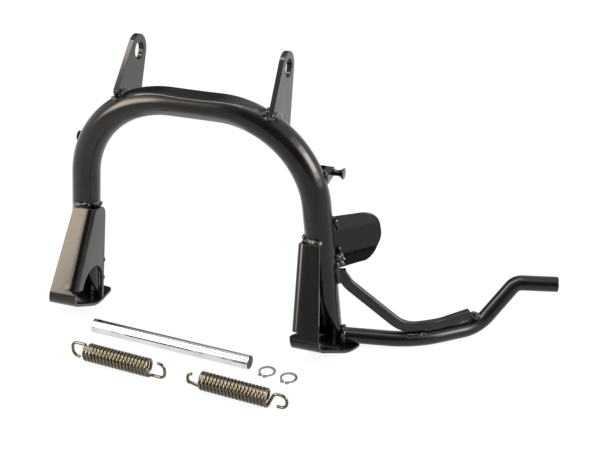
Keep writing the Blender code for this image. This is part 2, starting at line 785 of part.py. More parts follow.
def build_bracket(name, side, cutter, material):
    """The small block behind the leg that carries the spring peg, with a wedge under its root."""
    verts, faces = bracket_block(PEG_WEDGE_WIDTH, PEG_BRACKET_DROP)
    block, block_faces = bracket_block(PEG_BRACKET_WIDTH, 0)
    if side < 0:
        verts = mirrored(verts)
        block = mirrored(block)
    item = add_object(name, verts, faces, material)
    cut_away(item, add_object("cutter_" + name, block, block_faces, None), "UNION")
    cut_away(item, cutter)
    return item


def peg_profile():
    """The turned pin: a root, a waist and a flared head."""
    root = PEG_ROOT / 2
    waist = PEG_WAIST / 2
    head = PEG_HEAD / 2
    shape = ((0, root), (0.15, root), (0.36, waist), (0.55, waist * 1.12),
             (0.75, (waist + head) / 2), (0.89, head), (0.96, head), (1, head * 0.88))
    return [(share * PEG_LENGTH, radius) for share, radius in shape]


def build_peg(name, side, material):
    """One spring peg, pointing away from the middle of the stand."""
    verts, faces = turned(peg_profile(), 16)
    start = bracket_start_x() + PEG_BRACKET_WIDTH + JOIN_GAP
    placed = [Vector((start + v.x, PEG_BACK + v.y, PEG_HEIGHT + v.z)) for v in verts]
    if side < 0:
        placed = mirrored(placed)
    return add_object(name, placed, faces, material)


# Loose fixings

def build_shaft(material):
    """The pivot shaft, chamfered and grooved for its circlips."""
    radius = SHAFT_DIAMETER / 2
    half = SHAFT_LENGTH / 2
    groove = CLIP_THICKNESS + CLIP_GROOVE_PLAY
    side = [(half, radius - SHAFT_CHAMFER), (half - SHAFT_CHAMFER, radius),
            (half - CLIP_GROOVE_INSET, radius),
            (half - CLIP_GROOVE_INSET, radius - CLIP_GROOVE_DEPTH),
            (half - CLIP_GROOVE_INSET - groove, radius - CLIP_GROOVE_DEPTH),
            (half - CLIP_GROOVE_INSET - groove, radius)]
    profile = [(-x, r) for x, r in side] + list(reversed(side))
    verts, faces = turned(profile, 28)
    item = add_object("pivot_shaft", verts, faces, material)
    item.location = (SHAFT_PLACE[0], SHAFT_PLACE[1], radius)
    item.rotation_euler = (0, 0, SHAFT_PLACE[2])
    return item


def clip_outline():
    """A circlip's edge: a band that is widest opposite its two eared ends."""
    inner = SHAFT_DIAMETER / 2 + CLIP_FREE_PLAY
    ear = inner + CLIP_EAR_RADIUS
    first = CLIP_OPENING + CLIP_EAR_SPAN
    half = []
    for i in range(15):
        angle = first + (math.pi - first) * (1 - i / 14)
        outer = inner + CLIP_BAND
        half.append((outer * math.sin(angle), CLIP_BAND_SHIFT - outer * math.cos(angle)))
    middle = (ear * math.sin(CLIP_OPENING), -ear * math.cos(CLIP_OPENING))
    out = (math.sin(CLIP_OPENING), -math.cos(CLIP_OPENING))
    away = (math.cos(CLIP_OPENING), math.sin(CLIP_OPENING))
    for degrees in (70, 35, 0, -35, -70, -105, -140):
        a = CLIP_EAR_RADIUS * math.cos(math.radians(degrees))
        b = CLIP_EAR_RADIUS * math.sin(math.radians(degrees))
        half.append((middle[0] + a * out[0] + b * away[0], middle[1] + a * out[1] + b * away[1]))
    for i in range(13):
        angle = CLIP_OPENING + (math.pi - CLIP_OPENING) * i / 12
        half.append((inner * math.sin(angle), -inner * math.cos(angle)))
    return half, middle


def build_clip(name, place, material):
    """One external circlip, lying flat."""
    half, middle = clip_outline()
    outer_top = half[0]
    inner_top = half[-1]
    left = [(-x, y) for x, y in reversed(half)]
    outline = [(0.0, outer_top[1])] + half[1:-1] + [(0.0, inner_top[1])] + left[1:-1]
    holes = []
    for sign in (1, -1):
        holes.append(arc((sign * middle[0], middle[1]), CLIP_EAR_HOLE / 2, 0, 2 * math.pi, 8)[:-1])
    verts, faces = plate(outline, holes, CLIP_THICKNESS)
    item = add_object(name, verts, faces, material)
    item.location = (place[0], place[1], 0)
    item.rotation_euler = (0, 0, place[2])
    return item


def hook_corners(end, shape, coil_radius):
    """Corners of a hook in the spring's own upright plane, from (along, up) pairs."""
    return [Vector((end + along, 0, up * coil_radius)) for along, up in shape]


def spring_path(left_hook, right_hook):
    """Wire centre line: a hook, the coil and the other hook."""
    radius = (SPRING_OD - SPRING_WIRE) / 2
    length = SPRING_PITCH * SPRING_TURNS
    start_angle = math.copysign(math.pi / 2, left_hook[0][1])
    end_angle = math.copysign(math.pi / 2, right_hook[0][1])
    turns = SPRING_TURNS + (end_angle - start_angle) / (2 * math.pi)
    steps = round(turns * SPRING_STEPS)
    coil = []
    for i in range(1, steps):
        share = i / steps
        angle = start_angle + 2 * math.pi * turns * share
        coil.append(Vector((length * (share - 0.5), radius * math.cos(angle), radius * math.sin(angle))))
    left = hook_corners(-length / 2, left_hook, radius)
    right = hook_corners(length / 2, right_hook, radius)
    bends = [HOOK_BEND_RADIUS] * (len(left_hook) - 2)
    start = filleted(list(reversed(left)) + [coil[0]], bends + [HOOK_ROOT_RADIUS], math.radians(24))
    bends = [HOOK_BEND_RADIUS] * (len(right_hook) - 2)
    finish = filleted([coil[-1]] + right, [HOOK_ROOT_RADIUS] + bends, math.radians(24))
    return start[:-1] + coil + finish[1:]


def build_spring(name, place, hooks, material):
    """One extension spring with a hook at each end, lying on its side."""
    verts, faces = swept(spring_path(*hooks), circle_section(SPRING_WIRE / 2, SPRING_SIDES), (0, 1, 0))
    item = add_object(name, verts, faces, material)
    item.location = (place[0], place[1], 0)
    item.rotation_euler = (0, 0, place[2])
    low = min(v.z for v in verts)
    item.location.z = -low
    return item


LEFT_SPRING_HOOKS = (((0, 1), (-0.0160, 1), (-0.0160, -1), (-0.0085, -1)),
                     ((0, -1), (0.0160, -1), (0.0160, 1), (0.0085, 1)))
RIGHT_SPRING_HOOKS = (((0, -1), (-0.0140, -0.62), (-0.0242, 0.20), (-0.0100, 0.55)),
                      ((0, -1), (0.0065, 0.86), (0.0190, 0.86), (0.0190, -0.86), (0.0090, -0.86)))


def centre_on_floor(items):
    """Hang every piece on one empty that puts the stand's box over the origin."""
    bpy.context.view_layer.update()
    graph = bpy.context.evaluated_depsgraph_get()
    low = Vector((1e9, 1e9, 1e9))
    high = -low
    for item in items:
        shape = item.evaluated_get(graph)
        for corner in shape.bound_box:
            world = item.matrix_world @ Vector(corner)
            low = Vector(map(min, low, world))
            high = Vector(map(max, high, world))
    frame = bpy.data.objects.new("stand_frame", None)
    bpy.context.scene.collection.objects.link(frame)
    frame.location = (-(low.x + high.x) / 2, -(low.y + high.y) / 2, -low.z)
    for item in bpy.data.objects:
        if item is not frame:
            item.parent = frame


def main():
    """Build every piece."""
    clear_scene()
    paint = make_material("black_paint", (0.012, 0.012, 0.013), 0.16, 0.0)
    polished = make_material("polished_steel", (0.78, 0.79, 0.80), 0.10, 1.0)
    zinc = make_material("yellow_zinc", (0.42, 0.36, 0.24), 0.30, 1.0)
    dark_steel = make_material("dark_steel", (0.09, 0.09, 0.09), 0.35, 1.0)
    cutter = arch_cutter()
    pieces = [build_arch(paint)]
    for side, name in ((-1, "left"), (1, "right")):
        pieces.append(build_lug("pivot_lug_" + name, side, LUG_LEANS[name], cutter, paint))
        pieces.append(build_shoe("foot_shoe_" + name, side, paint))
        pieces.append(build_bracket("peg_bracket_" + name, side, cutter, paint))
        pieces.append(build_peg("spring_peg_" + name, side, paint))
    pieces.append(build_lever(paint))
    pieces.append(build_gusset(paint))
    pieces.append(build_step_plate(cutter, paint))
    pieces.append(build_shaft(polished))
    pieces.append(build_spring("return_spring_left", LEFT_SPRING_PLACE, LEFT_SPRING_HOOKS, zinc))
    pieces.append(build_spring("return_spring_right", RIGHT_SPRING_PLACE, RIGHT_SPRING_HOOKS, zinc))
    for name, place in zip(("circlip_left", "circlip_right"), CLIP_PLACES):
        pieces.append(build_clip(name, place, dark_steel))
    centre_on_floor(pieces)


main()
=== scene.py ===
"""Finish, welds, stage and camera for a motorcycle centre stand and its loose fixings.

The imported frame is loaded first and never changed. Each operator works out the surfaces
of one group of pieces with numpy, gives them their finish and puts them on the frame.

Lengths are in metres. Pieces are worked out from the middle of the arch, with X along
the pivot line and Z up, and PLACE carries them into the frame.
"""
import math

import bmesh
import bpy
import numpy as np
from bpy.props import FloatProperty, FloatVectorProperty, PointerProperty
from mathutils import Matrix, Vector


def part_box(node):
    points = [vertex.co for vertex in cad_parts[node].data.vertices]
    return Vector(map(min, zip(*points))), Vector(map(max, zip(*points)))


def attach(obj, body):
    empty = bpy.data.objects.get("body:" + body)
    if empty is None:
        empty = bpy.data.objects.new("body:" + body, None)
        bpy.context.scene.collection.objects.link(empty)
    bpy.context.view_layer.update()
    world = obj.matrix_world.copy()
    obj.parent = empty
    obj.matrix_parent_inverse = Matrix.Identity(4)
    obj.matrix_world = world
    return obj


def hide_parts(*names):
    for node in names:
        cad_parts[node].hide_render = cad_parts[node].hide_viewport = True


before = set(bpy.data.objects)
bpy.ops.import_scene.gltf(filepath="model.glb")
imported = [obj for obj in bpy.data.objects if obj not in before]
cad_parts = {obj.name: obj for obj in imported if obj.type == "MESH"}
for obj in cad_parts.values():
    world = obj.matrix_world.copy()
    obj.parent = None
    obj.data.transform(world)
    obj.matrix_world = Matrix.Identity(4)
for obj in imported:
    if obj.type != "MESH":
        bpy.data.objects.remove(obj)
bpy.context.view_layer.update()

bl_info = {
    "name": "Centre Stand Finish",
    "version": (1, 0, 0),
    "blender": (4, 5, 0),
    "location": "3D View > Sidebar > Centre Stand",
    "description": "Smooth surfaces, welds, finishes and a studio for a centre stand",
    "category": "Object",
}

MM = 0.001
DEG = math.pi / 180


def node_size(node, axis):
    """How far a frame node reaches along one axis."""
    low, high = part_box(node)
    return high[axis] - low[axis]


def middle_of_stand():
    """The middle plane between the lugs, the arch's own plane and the floor."""
    left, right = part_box("pivot_lug_left")[0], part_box("pivot_lug_right")[1]
    low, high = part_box("arch_tube")
    return np.array([(left[0] + right[0]) / 2, (low[1] + high[1]) / 2, 0.0])


PLACE = middle_of_stand()

# Arch tube
ARCH_HEIGHT = 237.5 * MM
FOOT_HALF = 134.0 * MM
ARCH_BEND = 96.0 * MM
SPLAY = 5.2 * DEG
SPLAY_SLOPE = math.tan(SPLAY)
ARCH_CORNER = FOOT_HALF - ARCH_HEIGHT * SPLAY_SLOPE
BEND_X = ARCH_CORNER - ARCH_BEND * math.tan((math.pi / 2 - SPLAY) / 2)
BEND_Z = ARCH_HEIGHT - ARCH_BEND
TUBE_CUT_FRONT = 66.0 * MM
TUBE_CUT_BACK = 3.3 * MM
TUBE_CUT_REACH = 100.0 * MM
FLAT_REACH = 60.0 * MM
PRESSED_FLATS = ((84 * DEG, 3.4 * MM), (-42 * DEG, 1.6 * MM))
FLAT_SOFTNESS = 0.6 * MM
ARCH_SIDES = 144
ARCH_STEP = 1.7 * MM
WALL_STEP = 6 * MM

# Pivot lugs
LUG_OFFSET = 76.4 * MM
LUG_END_RADIUS = 16.0 * MM
LUG_TAPER = 12.1 * DEG
LUG_LEANS = {"left": 54 * DEG, "right": 65.5 * DEG}
LUG_LENGTHS = (50.0 * MM, 62.0 * MM)
LUG_CORNERS = (3.0 * MM, 6.0 * MM)
PIVOT_Y = 40.4 * MM
PIVOT_Z = 268.4 * MM
PIVOT_HOLE = 8.75 * MM
WELD_SINK = 1.2 * MM

# Folded shoes
SHOE_TOP = 118.0 * MM
PLATE_LEAN = 27.8 * DEG
PLATE_WIDTHS = (23.0 * MM, 29.0 * MM, 47.0 * MM, 26.0 * MM)
FOLD_RADIUS = 7.0 * MM
TOE_RADIUS = 12.5 * MM
SOLE_SLOPE = 29 * DEG
SOLE_BREAK = -9.0 * MM
SOLE_BREAK_RADIUS = 54.0 * MM
SOLE_LIP = 0.3 * MM
FOLD_RELIEF = 4.5 * MM
SOLE_HEEL = 6.0 * MM
TONGUE_END = 26.5 * MM
TONGUE_RADIUS = 6.0 * MM
FLANGE_REAR = (5.5 * MM, 8.8 * MM)
FLANGE_CORNER = 12.0 * MM
FLANGE_STRIP = 4.0 * MM
FLANGE_LOW = 44.0 * MM
FLANGE_TOP_DROP = 6.0 * MM
ARCH_CUT_CLEAR = 4.0 * MM
ARCH_CUT_RADIUS = 21.5 * MM
ARCH_CUT_HEIGHT = 30.5 * MM
JOIN_GAP = 0.3 * MM

# Foot lever and gusset
LEVER_CORNERS = ((80.2, 21.0), (134.0, 65.6), (163.6, 101.3))
LEVER_RISE = 36.8 * MM
LEVER_BENDS = (120 * MM, 45 * MM, 14 * MM)
LEVER_TIP = 42.0 * MM
LEVER_TIP_HEADING = 14 * DEG
LEVER_ROOT_LIFT = 0.7 * MM
LEVER_SEAT = 0.8 * MM
LEVER_SIDES = 56
LEVER_EASING = 1.2 * MM
LEVER_STEP = 1.2 * MM
GUSSET_DEPTH = 10.5 * MM
GUSSET_EDGE = 1.2 * MM
GUSSET_CLEAR = 0.5 * MM
GUSSET_TOP = 85.3 * MM
GUSSET_BEND_DROP = 11.2 * MM
GUSSET_ROOT_SET_BACK = 7.3 * MM
GUSSET_BEND_LEAN = 0.8 * MM
GUSSET_PLACES = (59.0 * MM, 98.0 * MM, 128.0 * MM)
GUSSET_BENDS = (26 * MM, 35 * MM, 60 * MM)
GUSSET_END_LIFT = 3.5 * MM

# Step plate
STEP_HEIGHT = 104.3 * MM
STEP_HEADING = 30 * DEG
STEP_TILT = 10 * DEG
STEP_SET_BACK = 4.3 * MM
STEP_REACH = 61.7 * MM
STEP_WEB = 25.5 * MM
STEP_TOP_LIP = (20.0 * MM, 15 * DEG)
STEP_LOW_LIP = (12.0 * MM, 38 * DEG)
STEP_FOLDS = (4.0 * MM, 7.0 * MM)
STEP_TOP_EDGE = (33.9 * MM, 25.4 * MM)
STEP_LOW_EDGE = 22.2 * MM
STEP_CORNERS = (19.0 * MM, 26.0 * MM)
STEP_LEAST = 1.5 * MM
STEP_NOTCH = (19.8 * MM, 13.8 * MM)

# Spring pegs and brackets
PEG_HEIGHT = 176.0 * MM
PEG_BACK = 24.5 * MM
PEG_LENGTH = 10.6 * MM
PEG_ROOT = 3.1 * MM
PEG_WAIST = 2.8 * MM
PEG_CORNERS = (0.2 * MM, 2 * MM, 3 * MM, 4 * MM, 5 * MM, 1.0 * MM, 0.5 * MM)
BRACKET_START = 1.0 * MM
BRACKET_WIDTH = 13.5 * MM
BRACKET_RADIUS = 5.3 * MM
BRACKET_REACH = 17.2 * MM
WEDGE_WIDTH = 6.2 * MM
WEDGE_DROP = 12.8 * MM
WEDGE_TIP = 5.5 * MM
WEDGE_FLAT = 2.2 * MM

# Loose fixings
SHAFT_LENGTH = 172.6 * MM
SHAFT_PLACE = (-10.8 * MM, -59.3 * MM, -3.9 * DEG)
GROOVE_INSET = 3.0 * MM
GROOVE_WIDTH = 1.1 * MM
GROOVE_DEPTH = 0.5 * MM
SHAFT_CHAMFER = 0.6 * MM
SPRING_PITCH = 3.66 * MM
SPRING_TURNS = 19
SHAFT_SIDES = 96
# End faces this far in from the shaft's ends are dull and carry painted shade
SHAFT_DULL_SHADED_ENDS = 0.3 * MM
COIL_POINTS = 48
WIRE_SIDES = 18
WIRE_STEP = 0.5 * MM
WIRE_EASING = 0.4 * MM
HOOK_ROOT = 2.2 * MM
HOOK_BEND = 6.0 * MM
SPRING_PLACES = {"left": (-44.8 * MM, -104.6 * MM, -4.7 * DEG),
                 "right": (77.9 * MM, -113.5 * MM, -5.1 * DEG)}
SPRING_HOOKS = {
    "left": (((0, 1), (-16.0, 1), (-16.0, -1), (-8.5, -1)),
             ((0, -1), (16.0, -1), (16.0, 1), (8.5, 1))),
    "right": (((0, -1), (-14.0, -0.62), (-24.2, 0.20), (-10.0, 0.55)),
              ((0, -1), (6.5, 0.86), (19.0, 0.86), (19.0, -0.86), (9.0, -0.86))),
}

# Camera, fitted to the photograph's view
CAMERA_PLACE = (443.857 * MM, -986.988 * MM, 678.276 * MM)
CAMERA_RIGHT = (0.94574, 0.32491, -0.00194)
CAMERA_UP = (-0.14988, 0.44156, 0.88463)
CAMERA_LENS = 74.61
SENSOR_WIDTH = 36

# Weld beads
SIDES = (("left", -1), ("right", 1))
BEAD_STEP = 0.45 * MM
BEAD_SIDES = 20
BEAD_PITCH = 2.6 * MM
# Slow lumps of a bead: wavelength along it, and waves round it
BEAD_LUMPS = ((9 * MM, 1), (14 * MM, 2), (7 * MM, 3), (19 * MM, 0))
# Lumps in front of each lug: place across it in mm, turn round the tube in degrees, size
FRONT_LUMPS = {"left": ((-3.0, -22, 1.45), (0.8, -36, 1.6), (4.4, -22, 1.35)),
               "right": ((-5.2, -26, 1.5), (-1.2, -38, 1.75), (3.2, -30, 1.6), (6.0, -12, 1.3))}
LUMP_TURN = 9
# Seams of the lugs, of the peg brackets and round the lever's root
LUG_WELD_OUT = 0.6 * MM
LUG_WELD_TURN = (-20 * DEG, 100 * DEG)
LUG_WELD_SIZE = 1.3
PEG_WELD_SPAN = (1.5 * MM, 12.6 * MM)
PEG_WELD_SIZE = 0.8
COLLAR_TURN = (-70 * DEG, 190 * DEG)
COLLAR_REACH = 2 * MM
COLLAR_SIZE = 1.1
SEAM_OUT = 0.4 * MM
# Beads over each shoe: height, first and last turn round the leg, growth, fall, size
SHOE_WELDS = ((119.2 * MM, -44 * DEG, 30 * DEG, 0.1 * MM, 0.6 * MM, 1.7),
              (118.4 * MM, -86 * DEG, -50 * DEG, 0.0, -1.5 * MM, 1.3),
              (115.0 * MM, -124 * DEG, -88 * DEG, 0.0, 3.0 * MM, 0.9))
# Tacks behind each flange, as points in mm from the middle, and size
FLANGE_WELDS = ((((113.2, 6.2, 51.0), (113.8, 6.0, 45.0)), 0.95),
                (((115.0, 5.6, 30.0), (115.6, 5.2, 24.5)), 0.95))
# Beads on the right leg's outer side and on the lever, as points in mm, and size
OUTER_WELDS = (
    (((139.8, 2.2, 94.0), (140.4, -0.4, 86.5), (141.6, -0.2, 79.0), (143.0, 0.6, 70.5)), 1.55),
    (((141.0, 3.0, 93.0), (142.4, 5.6, 90.8), (144.0, 7.4, 88.6)), 1.45),
    (((139.2, 3.6, 101.5), (140.4, 4.0, 97.5), (141.6, 4.6, 93.4)), 2.1),
    (((136.2, 6.4, 136.4), (137.4, 9.4, 129.4), (138.2, 11.8, 123.0)), 1.15),
    (((138.4, 12.9, 104.0), (140.2, 13.2, 96.4), (142.6, 12.8, 92.6), (145.0, 12.2, 90.2)), 0.9),
    (((262.6, 58.4, 27.2), (265.4, 61.2, 23.4), (268.0, 63.4, 19.6)), 2.2),
    (((266.8, 65.6, 21.0), (270.6, 67.0, 19.6)), 1.2),
    (((207.6, 16.9, 14.0), (214.0, 18.9, 14.6), (221.0, 22.1, 14.6), (226.0, 25.5, 14.2)), 1.2),
)

# Finishes and studio
# Painted shade: a near-black colour on the shaft's end faces stands in for their shade; their
# rougher sawn finish is real
END_SHADE_STEEL = (0.05, 0.05, 0.055)
SAWN_ROUGHNESS = 0.45
FLOOR_HALF = 6.0
FLOOR_GLOW = 0.9
FLOOR_DIM_SIDE = (0.6, -0.8, 0.0)
FLOOR_DIM_LEVEL = 0.6
FLOOR_DIM_REACH = (0.0, 0.22)
DIM_LEVEL = 0.05
# Directions in which the studio is dim, seen from the stand, and how wide each is
DIM_SIDES = (((0.27, -0.91, 0.31), 0.66, 0.91), ((-0.60, 0.72, 0.34), 0.84, 0.97))
# name, place, aim, width, height, power, share of the front light's tint
STUDIO_LIGHTS = (
    ("front_left_core", (-0.89, -0.83, 0.60), (0, 0, 0.15), 0.66, 0.38, 6.0, 1.0),
    ("front_left_box", (-0.90, -0.84, 0.61), (0, 0, 0.15), 0.90, 0.58, 7.5, 0.9),
    ("front_left_rim", (-0.92, -0.86, 0.70), (0, 0, 0.15), 1.10, 1.00, 4.5, 0.7),
    ("right_core", (1.22, -0.04, 0.60), (0, 0, 0.15), 0.60, 0.36, 5.6, 0.45),
    ("right_box", (1.24, -0.04, 0.62), (0, 0, 0.15), 0.86, 0.66, 10.5, 0.35),
    ("right_rim", (1.28, -0.04, 0.66), (0, 0, 0.15), 1.20, 1.10, 7.0, 0.2),
    ("top_box", (0.15, 0.05, 1.70), (0, 0, 0.15), 1.00, 0.60, 5.0, 0.0),
    ("top_strip", (-0.58, -0.16, 1.50), (-0.05, -0.16, 0.2), 0.34, 1.30, 15.0, 0.5),
)


# Curves worked out as arrays

def unit(vectors):
    """Vectors scaled to length one."""
    return vectors / np.linalg.norm(vectors, axis=-1, keepdims=True)


def rounded(corners, radii, step=2 * DEG):
    """A polyline whose inner corners are arcs.

    Each arc touches both sides: its centre lies on the corner's bisector at radius over
    the sine of half the corner's angle.
    """
    corners = np.asarray(corners, float)
    pieces = [corners[:1]]
    for before, corner, after, radius in zip(corners, corners[1:], corners[2:], radii):
        back, ahead = unit(before - corner), unit(after - corner)
        half = math.acos(np.clip(back @ ahead, -1, 1)) / 2
        centre = corner + unit(back + ahead) * radius / math.sin(half)
        sweep = math.pi / 2 - half
        turn = np.linspace(-sweep, sweep, max(2, math.ceil(2 * sweep / step) + 1))[:, None]
        outward, along = unit(corner - centre), unit(ahead - back)
        pieces.append(centre + radius * (outward * np.cos(turn) + along * np.sin(turn)))
    pieces.append(corners[-1:])
    return np.concatenate(pieces)


def evenly(first, last, count):
    """Points an even distance apart on a straight line."""
    return first + (last - first) * np.linspace(0, 1, count)[:, None]


def lengths(path):
    """Distance along a polyline to each of its points."""
    steps = np.linalg.norm(np.diff(path, axis=0), axis=1)
    return np.concatenate([[0.0], np.cumsum(steps)])


def resampled(path, spacing):
    """The polyline again with points an even distance apart."""
    run = lengths(path)
    count = max(3, int(round(run[-1] / spacing)) + 1)
    wanted = np.linspace(0, run[-1], count)
    return np.stack([np.interp(wanted, run, axis) for axis in path.T], axis=1)


def directions(path):
    """The path's direction at each point, by central differences."""
    return unit(np.gradient(path, axis=0))


def crossways(path, choices=400):
    """Two directions square to the path at each point, which turn with it but don't twist.

    The first is square to a reference. Of some hundred directions spread over half a
    sphere on a golden-angle spiral, it is the one that stays furthest from the path's own.
    """
    tangents = directions(path)
    index = np.arange(choices) + 0.5
    z = index / choices
    turn = index * math.pi * (3 - math.sqrt(5))
    ring = np.sqrt(1 - z * z)
    spiral = np.stack([ring * np.cos(turn), ring * np.sin(turn), z], axis=1)
    reference = spiral[np.abs(tangents @ spiral.T).max(axis=0).argmin()]
    side = unit(np.cross(tangents, reference))
    return side, np.cross(side, tangents)


def laid(centres, section, side, up, scale=1.0):
    """A flat section laid across at each centre, on its two directions, as a grid."""
    across = section[None, :, :1] * side[:, None] + section[None, :, 1:] * up[:, None]
    return centres[:, None] + across * np.reshape(scale, (-1, 1, 1))


def circle(radius, sides):
    """A round section."""
    turn = np.arange(sides) * 2 * math.pi / sides
    return radius * np.stack([np.cos(turn), np.sin(turn)], axis=1)


def bar(path, radius, sides, easing):
    """A round bar along a path: a circle carried along it, with eased, closed ends.

    The ends follow a quarter circle of the easing's radius and then close flat. Each ring
    lies square to the path at the same share of its length.
    """
    turn = np.linspace(0, math.pi / 2, 7)
    back, ahead = directions(path)[[0, -1]]
    shrink = (radius - easing + easing * np.cos(turn)) / radius
    reach = easing * (np.sin(turn) - 1)[:, None]
    start, finish = path[0] - back * reach, path[-1] + ahead * reach
    inner = path[1:-1]
    near = np.minimum(*(np.linalg.norm(inner - end, axis=1) for end in path[[0, -1]]))
    keep = near > easing
    whole = np.concatenate([start[-1:], start[::-1], inner[keep], finish, finish[-1:]])
    scale = np.concatenate([[0.0], shrink[::-1], np.ones(keep.sum()), shrink, [0.0]])
    run, ends = lengths(path), lengths(whole)
    nearest = np.clip(np.searchsorted(run, ends * run[-1] / ends[-1]), 0, len(path) - 1)
    side, up = crossways(path)
    return laid(whole, circle(radius, sides), side[nearest], up[nearest], scale)


def turned(profile, sides):
    """A profile of (along, radius) pairs turned about the X axis."""
    along = np.broadcast_to(profile[:, :1], (len(profile), sides))
    return np.stack([along, *(profile[:, 1:] * axis for axis in circle(1.0, sides).T)], axis=2)


def placed(points, place, lift):
    """Points turned about Z and moved, as a loose piece lies on the floor."""
    x, y, angle = place
    c, s = math.cos(angle), math.sin(angle)
    turn = np.array([[c, -s, 0], [s, c, 0], [0, 0, 1]])
    return points @ turn.T + np.array([x, y, lift])


def mirrored(points, side):
    """Points as they are on the right side, or mirrored to the left."""
    return points * np.array([side, 1, 1])


# Meshes

def sheets(*grids):
    """Open grids of points, in the form that make_piece takes."""
    return [(grid, False, False) for grid in grids]


def strips(*pairs):
    """Pairs of edges, each joined by a grid of two rows."""
    return sheets(*(np.stack(pair) for pair in pairs))


def grid_faces(rows, columns, wrap_rows, wrap_columns):
    """Corner numbers of a grid's four-sided faces, joined up round either way."""
    row = np.arange(rows if wrap_rows else rows - 1)[:, None]
    column = np.arange(columns if wrap_columns else columns - 1)[None, :]
    row_next, column_next = (row + 1) % rows, (column + 1) % columns
    corners = (row * columns + column, row * columns + column_next,
               row_next * columns + column_next, row_next * columns + column)
    return np.stack(corners, axis=-1).reshape(-1, 4)


def make_piece(context, name, surfaces, material, slot, nodes=(), sharp=35 * DEG, easing=0.0):
    """Puts surfaces into one mesh, closes it, gives it its finish and sets it on the frame.

    Each surface is (points, wrap_rows, wrap_columns) for a grid, or (points,) for a flat
    cap whose outline the points follow.
    """
    verts, faces, count = [], [], 0
    for points, *wraps in surfaces:
        flat = points.reshape(-1, 3)
        if wraps:
            faces.extend((grid_faces(*points.shape[:2], *wraps) + count).tolist())
        else:
            faces.append(list(range(count, count + len(flat))))
        verts.append(flat)
        count += len(flat)
    mesh = bpy.data.meshes.new(name)
    mesh.from_pydata((np.concatenate(verts) + PLACE).tolist(), [], faces)
    work = bmesh.new()
    work.from_mesh(mesh)
    bmesh.ops.remove_doubles(work, verts=work.verts, dist=2e-6)
    bmesh.ops.recalc_face_normals(work, faces=work.faces)
    work.to_mesh(mesh)
    work.free()
    mesh.shade_smooth()
    mesh.set_sharp_from_angle(angle=sharp)
    piece = bpy.data.objects.new(name, mesh)
    context.scene.collection.objects.link(piece)
    piece.data.materials.append(material)
    if easing:
        ease = piece.modifiers.new("eased edges", "BEVEL")
        settings = {"width": easing, "segments": 3, "limit_method": "ANGLE", "angle_limit": sharp,
                    "use_clamp_overlap": False, "loop_slide": False, "harden_normals": True}
        for setting, value in settings.items():
            setattr(ease, setting, value)
    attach(piece, "root")
    if nodes:
        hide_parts(*nodes)


def painted(context, name, surfaces, node, **shape):
    """A piece of the stand in its paint, which is made once and shared."""
    paint = bpy.data.materials.get("stove_paint") or paint_finish(
        "stove_paint", context.scene.stand_colours.paint, 0.3, 0.03 * MM)
    make_piece(context, name, surfaces, paint, "black_paint", [node], **shape)


# Shapes

def arch_line(spacing):
    """The arch's centre line from the left foot over the top to the right foot."""
    corners = [(-FOOT_HALF, 0, 0), (-ARCH_CORNER, 0, ARCH_HEIGHT),
               (ARCH_CORNER, 0, ARCH_HEIGHT), (FOOT_HALF, 0, 0)]
    return resampled(rounded(corners, [ARCH_BEND] * 2, 1 * DEG), spacing)


def tube_radius():
    """The outside radius of the arch tube."""
    return bpy.context.scene.stand_sizes.tube_diameter / 2


def arch_skin(radius, spacing, sides):
    """The tube's skin: a circle carried along the arch, pressed flat and cut at the feet.

    Where the press gripped, no point reaches further along the press's own direction than
    the radius less a depth that falls off with the square of the distance from the middle;
    the limit is softened with log(1 + e^x). Below the cut's reach, each column of points is
    drawn out evenly between the slanting cut and the height of that reach.
    """
    path = arch_line(spacing)
    tangents = directions(path)
    outward = np.stack([-tangents[:, 2], np.zeros(len(path)), tangents[:, 0]], axis=1)
    u, v = (np.tile(axis, (len(path), 1)) for axis in circle(radius, sides).T)
    share = np.clip(1 - (path[:, :1] / FLAT_REACH) ** 2, 0, None)
    grip = np.clip(share * 6, 0, 1)
    for angle, depth in PRESSED_FLATS:
        reach = u * math.cos(angle) + v * math.sin(angle) - (radius - depth * share)
        over = FLAT_SOFTNESS * np.logaddexp(0, reach / FLAT_SOFTNESS) * grip
        u -= over * math.cos(angle)
        v -= over * math.sin(angle)
    points = path[:, None] + outward[:, None] * v[..., None]
    points[..., 1] -= u
    tilt = points[..., 2] - path[:, None, 2]
    share = np.clip((tube_radius() - points[..., 1]) / (2 * tube_radius()), 0, 1)
    cut = TUBE_CUT_BACK + (TUBE_CUT_FRONT - TUBE_CUT_BACK) * (1 - np.sqrt(1 - share ** 2))
    rise = path[:, None, 2] / TUBE_CUT_REACH
    wanted = cut + (TUBE_CUT_REACH + tilt - cut) * rise
    shift = np.where(rise < 1, wanted - points[..., 2], 0.0)
    steep = np.where(rise < 1, tangents[:, None, 2], 1)
    return points + tangents[:, None] * (shift / steep)[..., None]


def tube_section(x, y, grow):
    """Signed distance from the bent tube's skin of points in the upright plane at x.

    The bend is part of a ring: the distance is that from the ring's centre line, less
    the tube's radius.
    """
    ring = np.hypot(x - BEND_X, y[..., 1] - BEND_Z) - ARCH_BEND
    return np.hypot(ring, y[..., 0]) - tube_radius() - grow


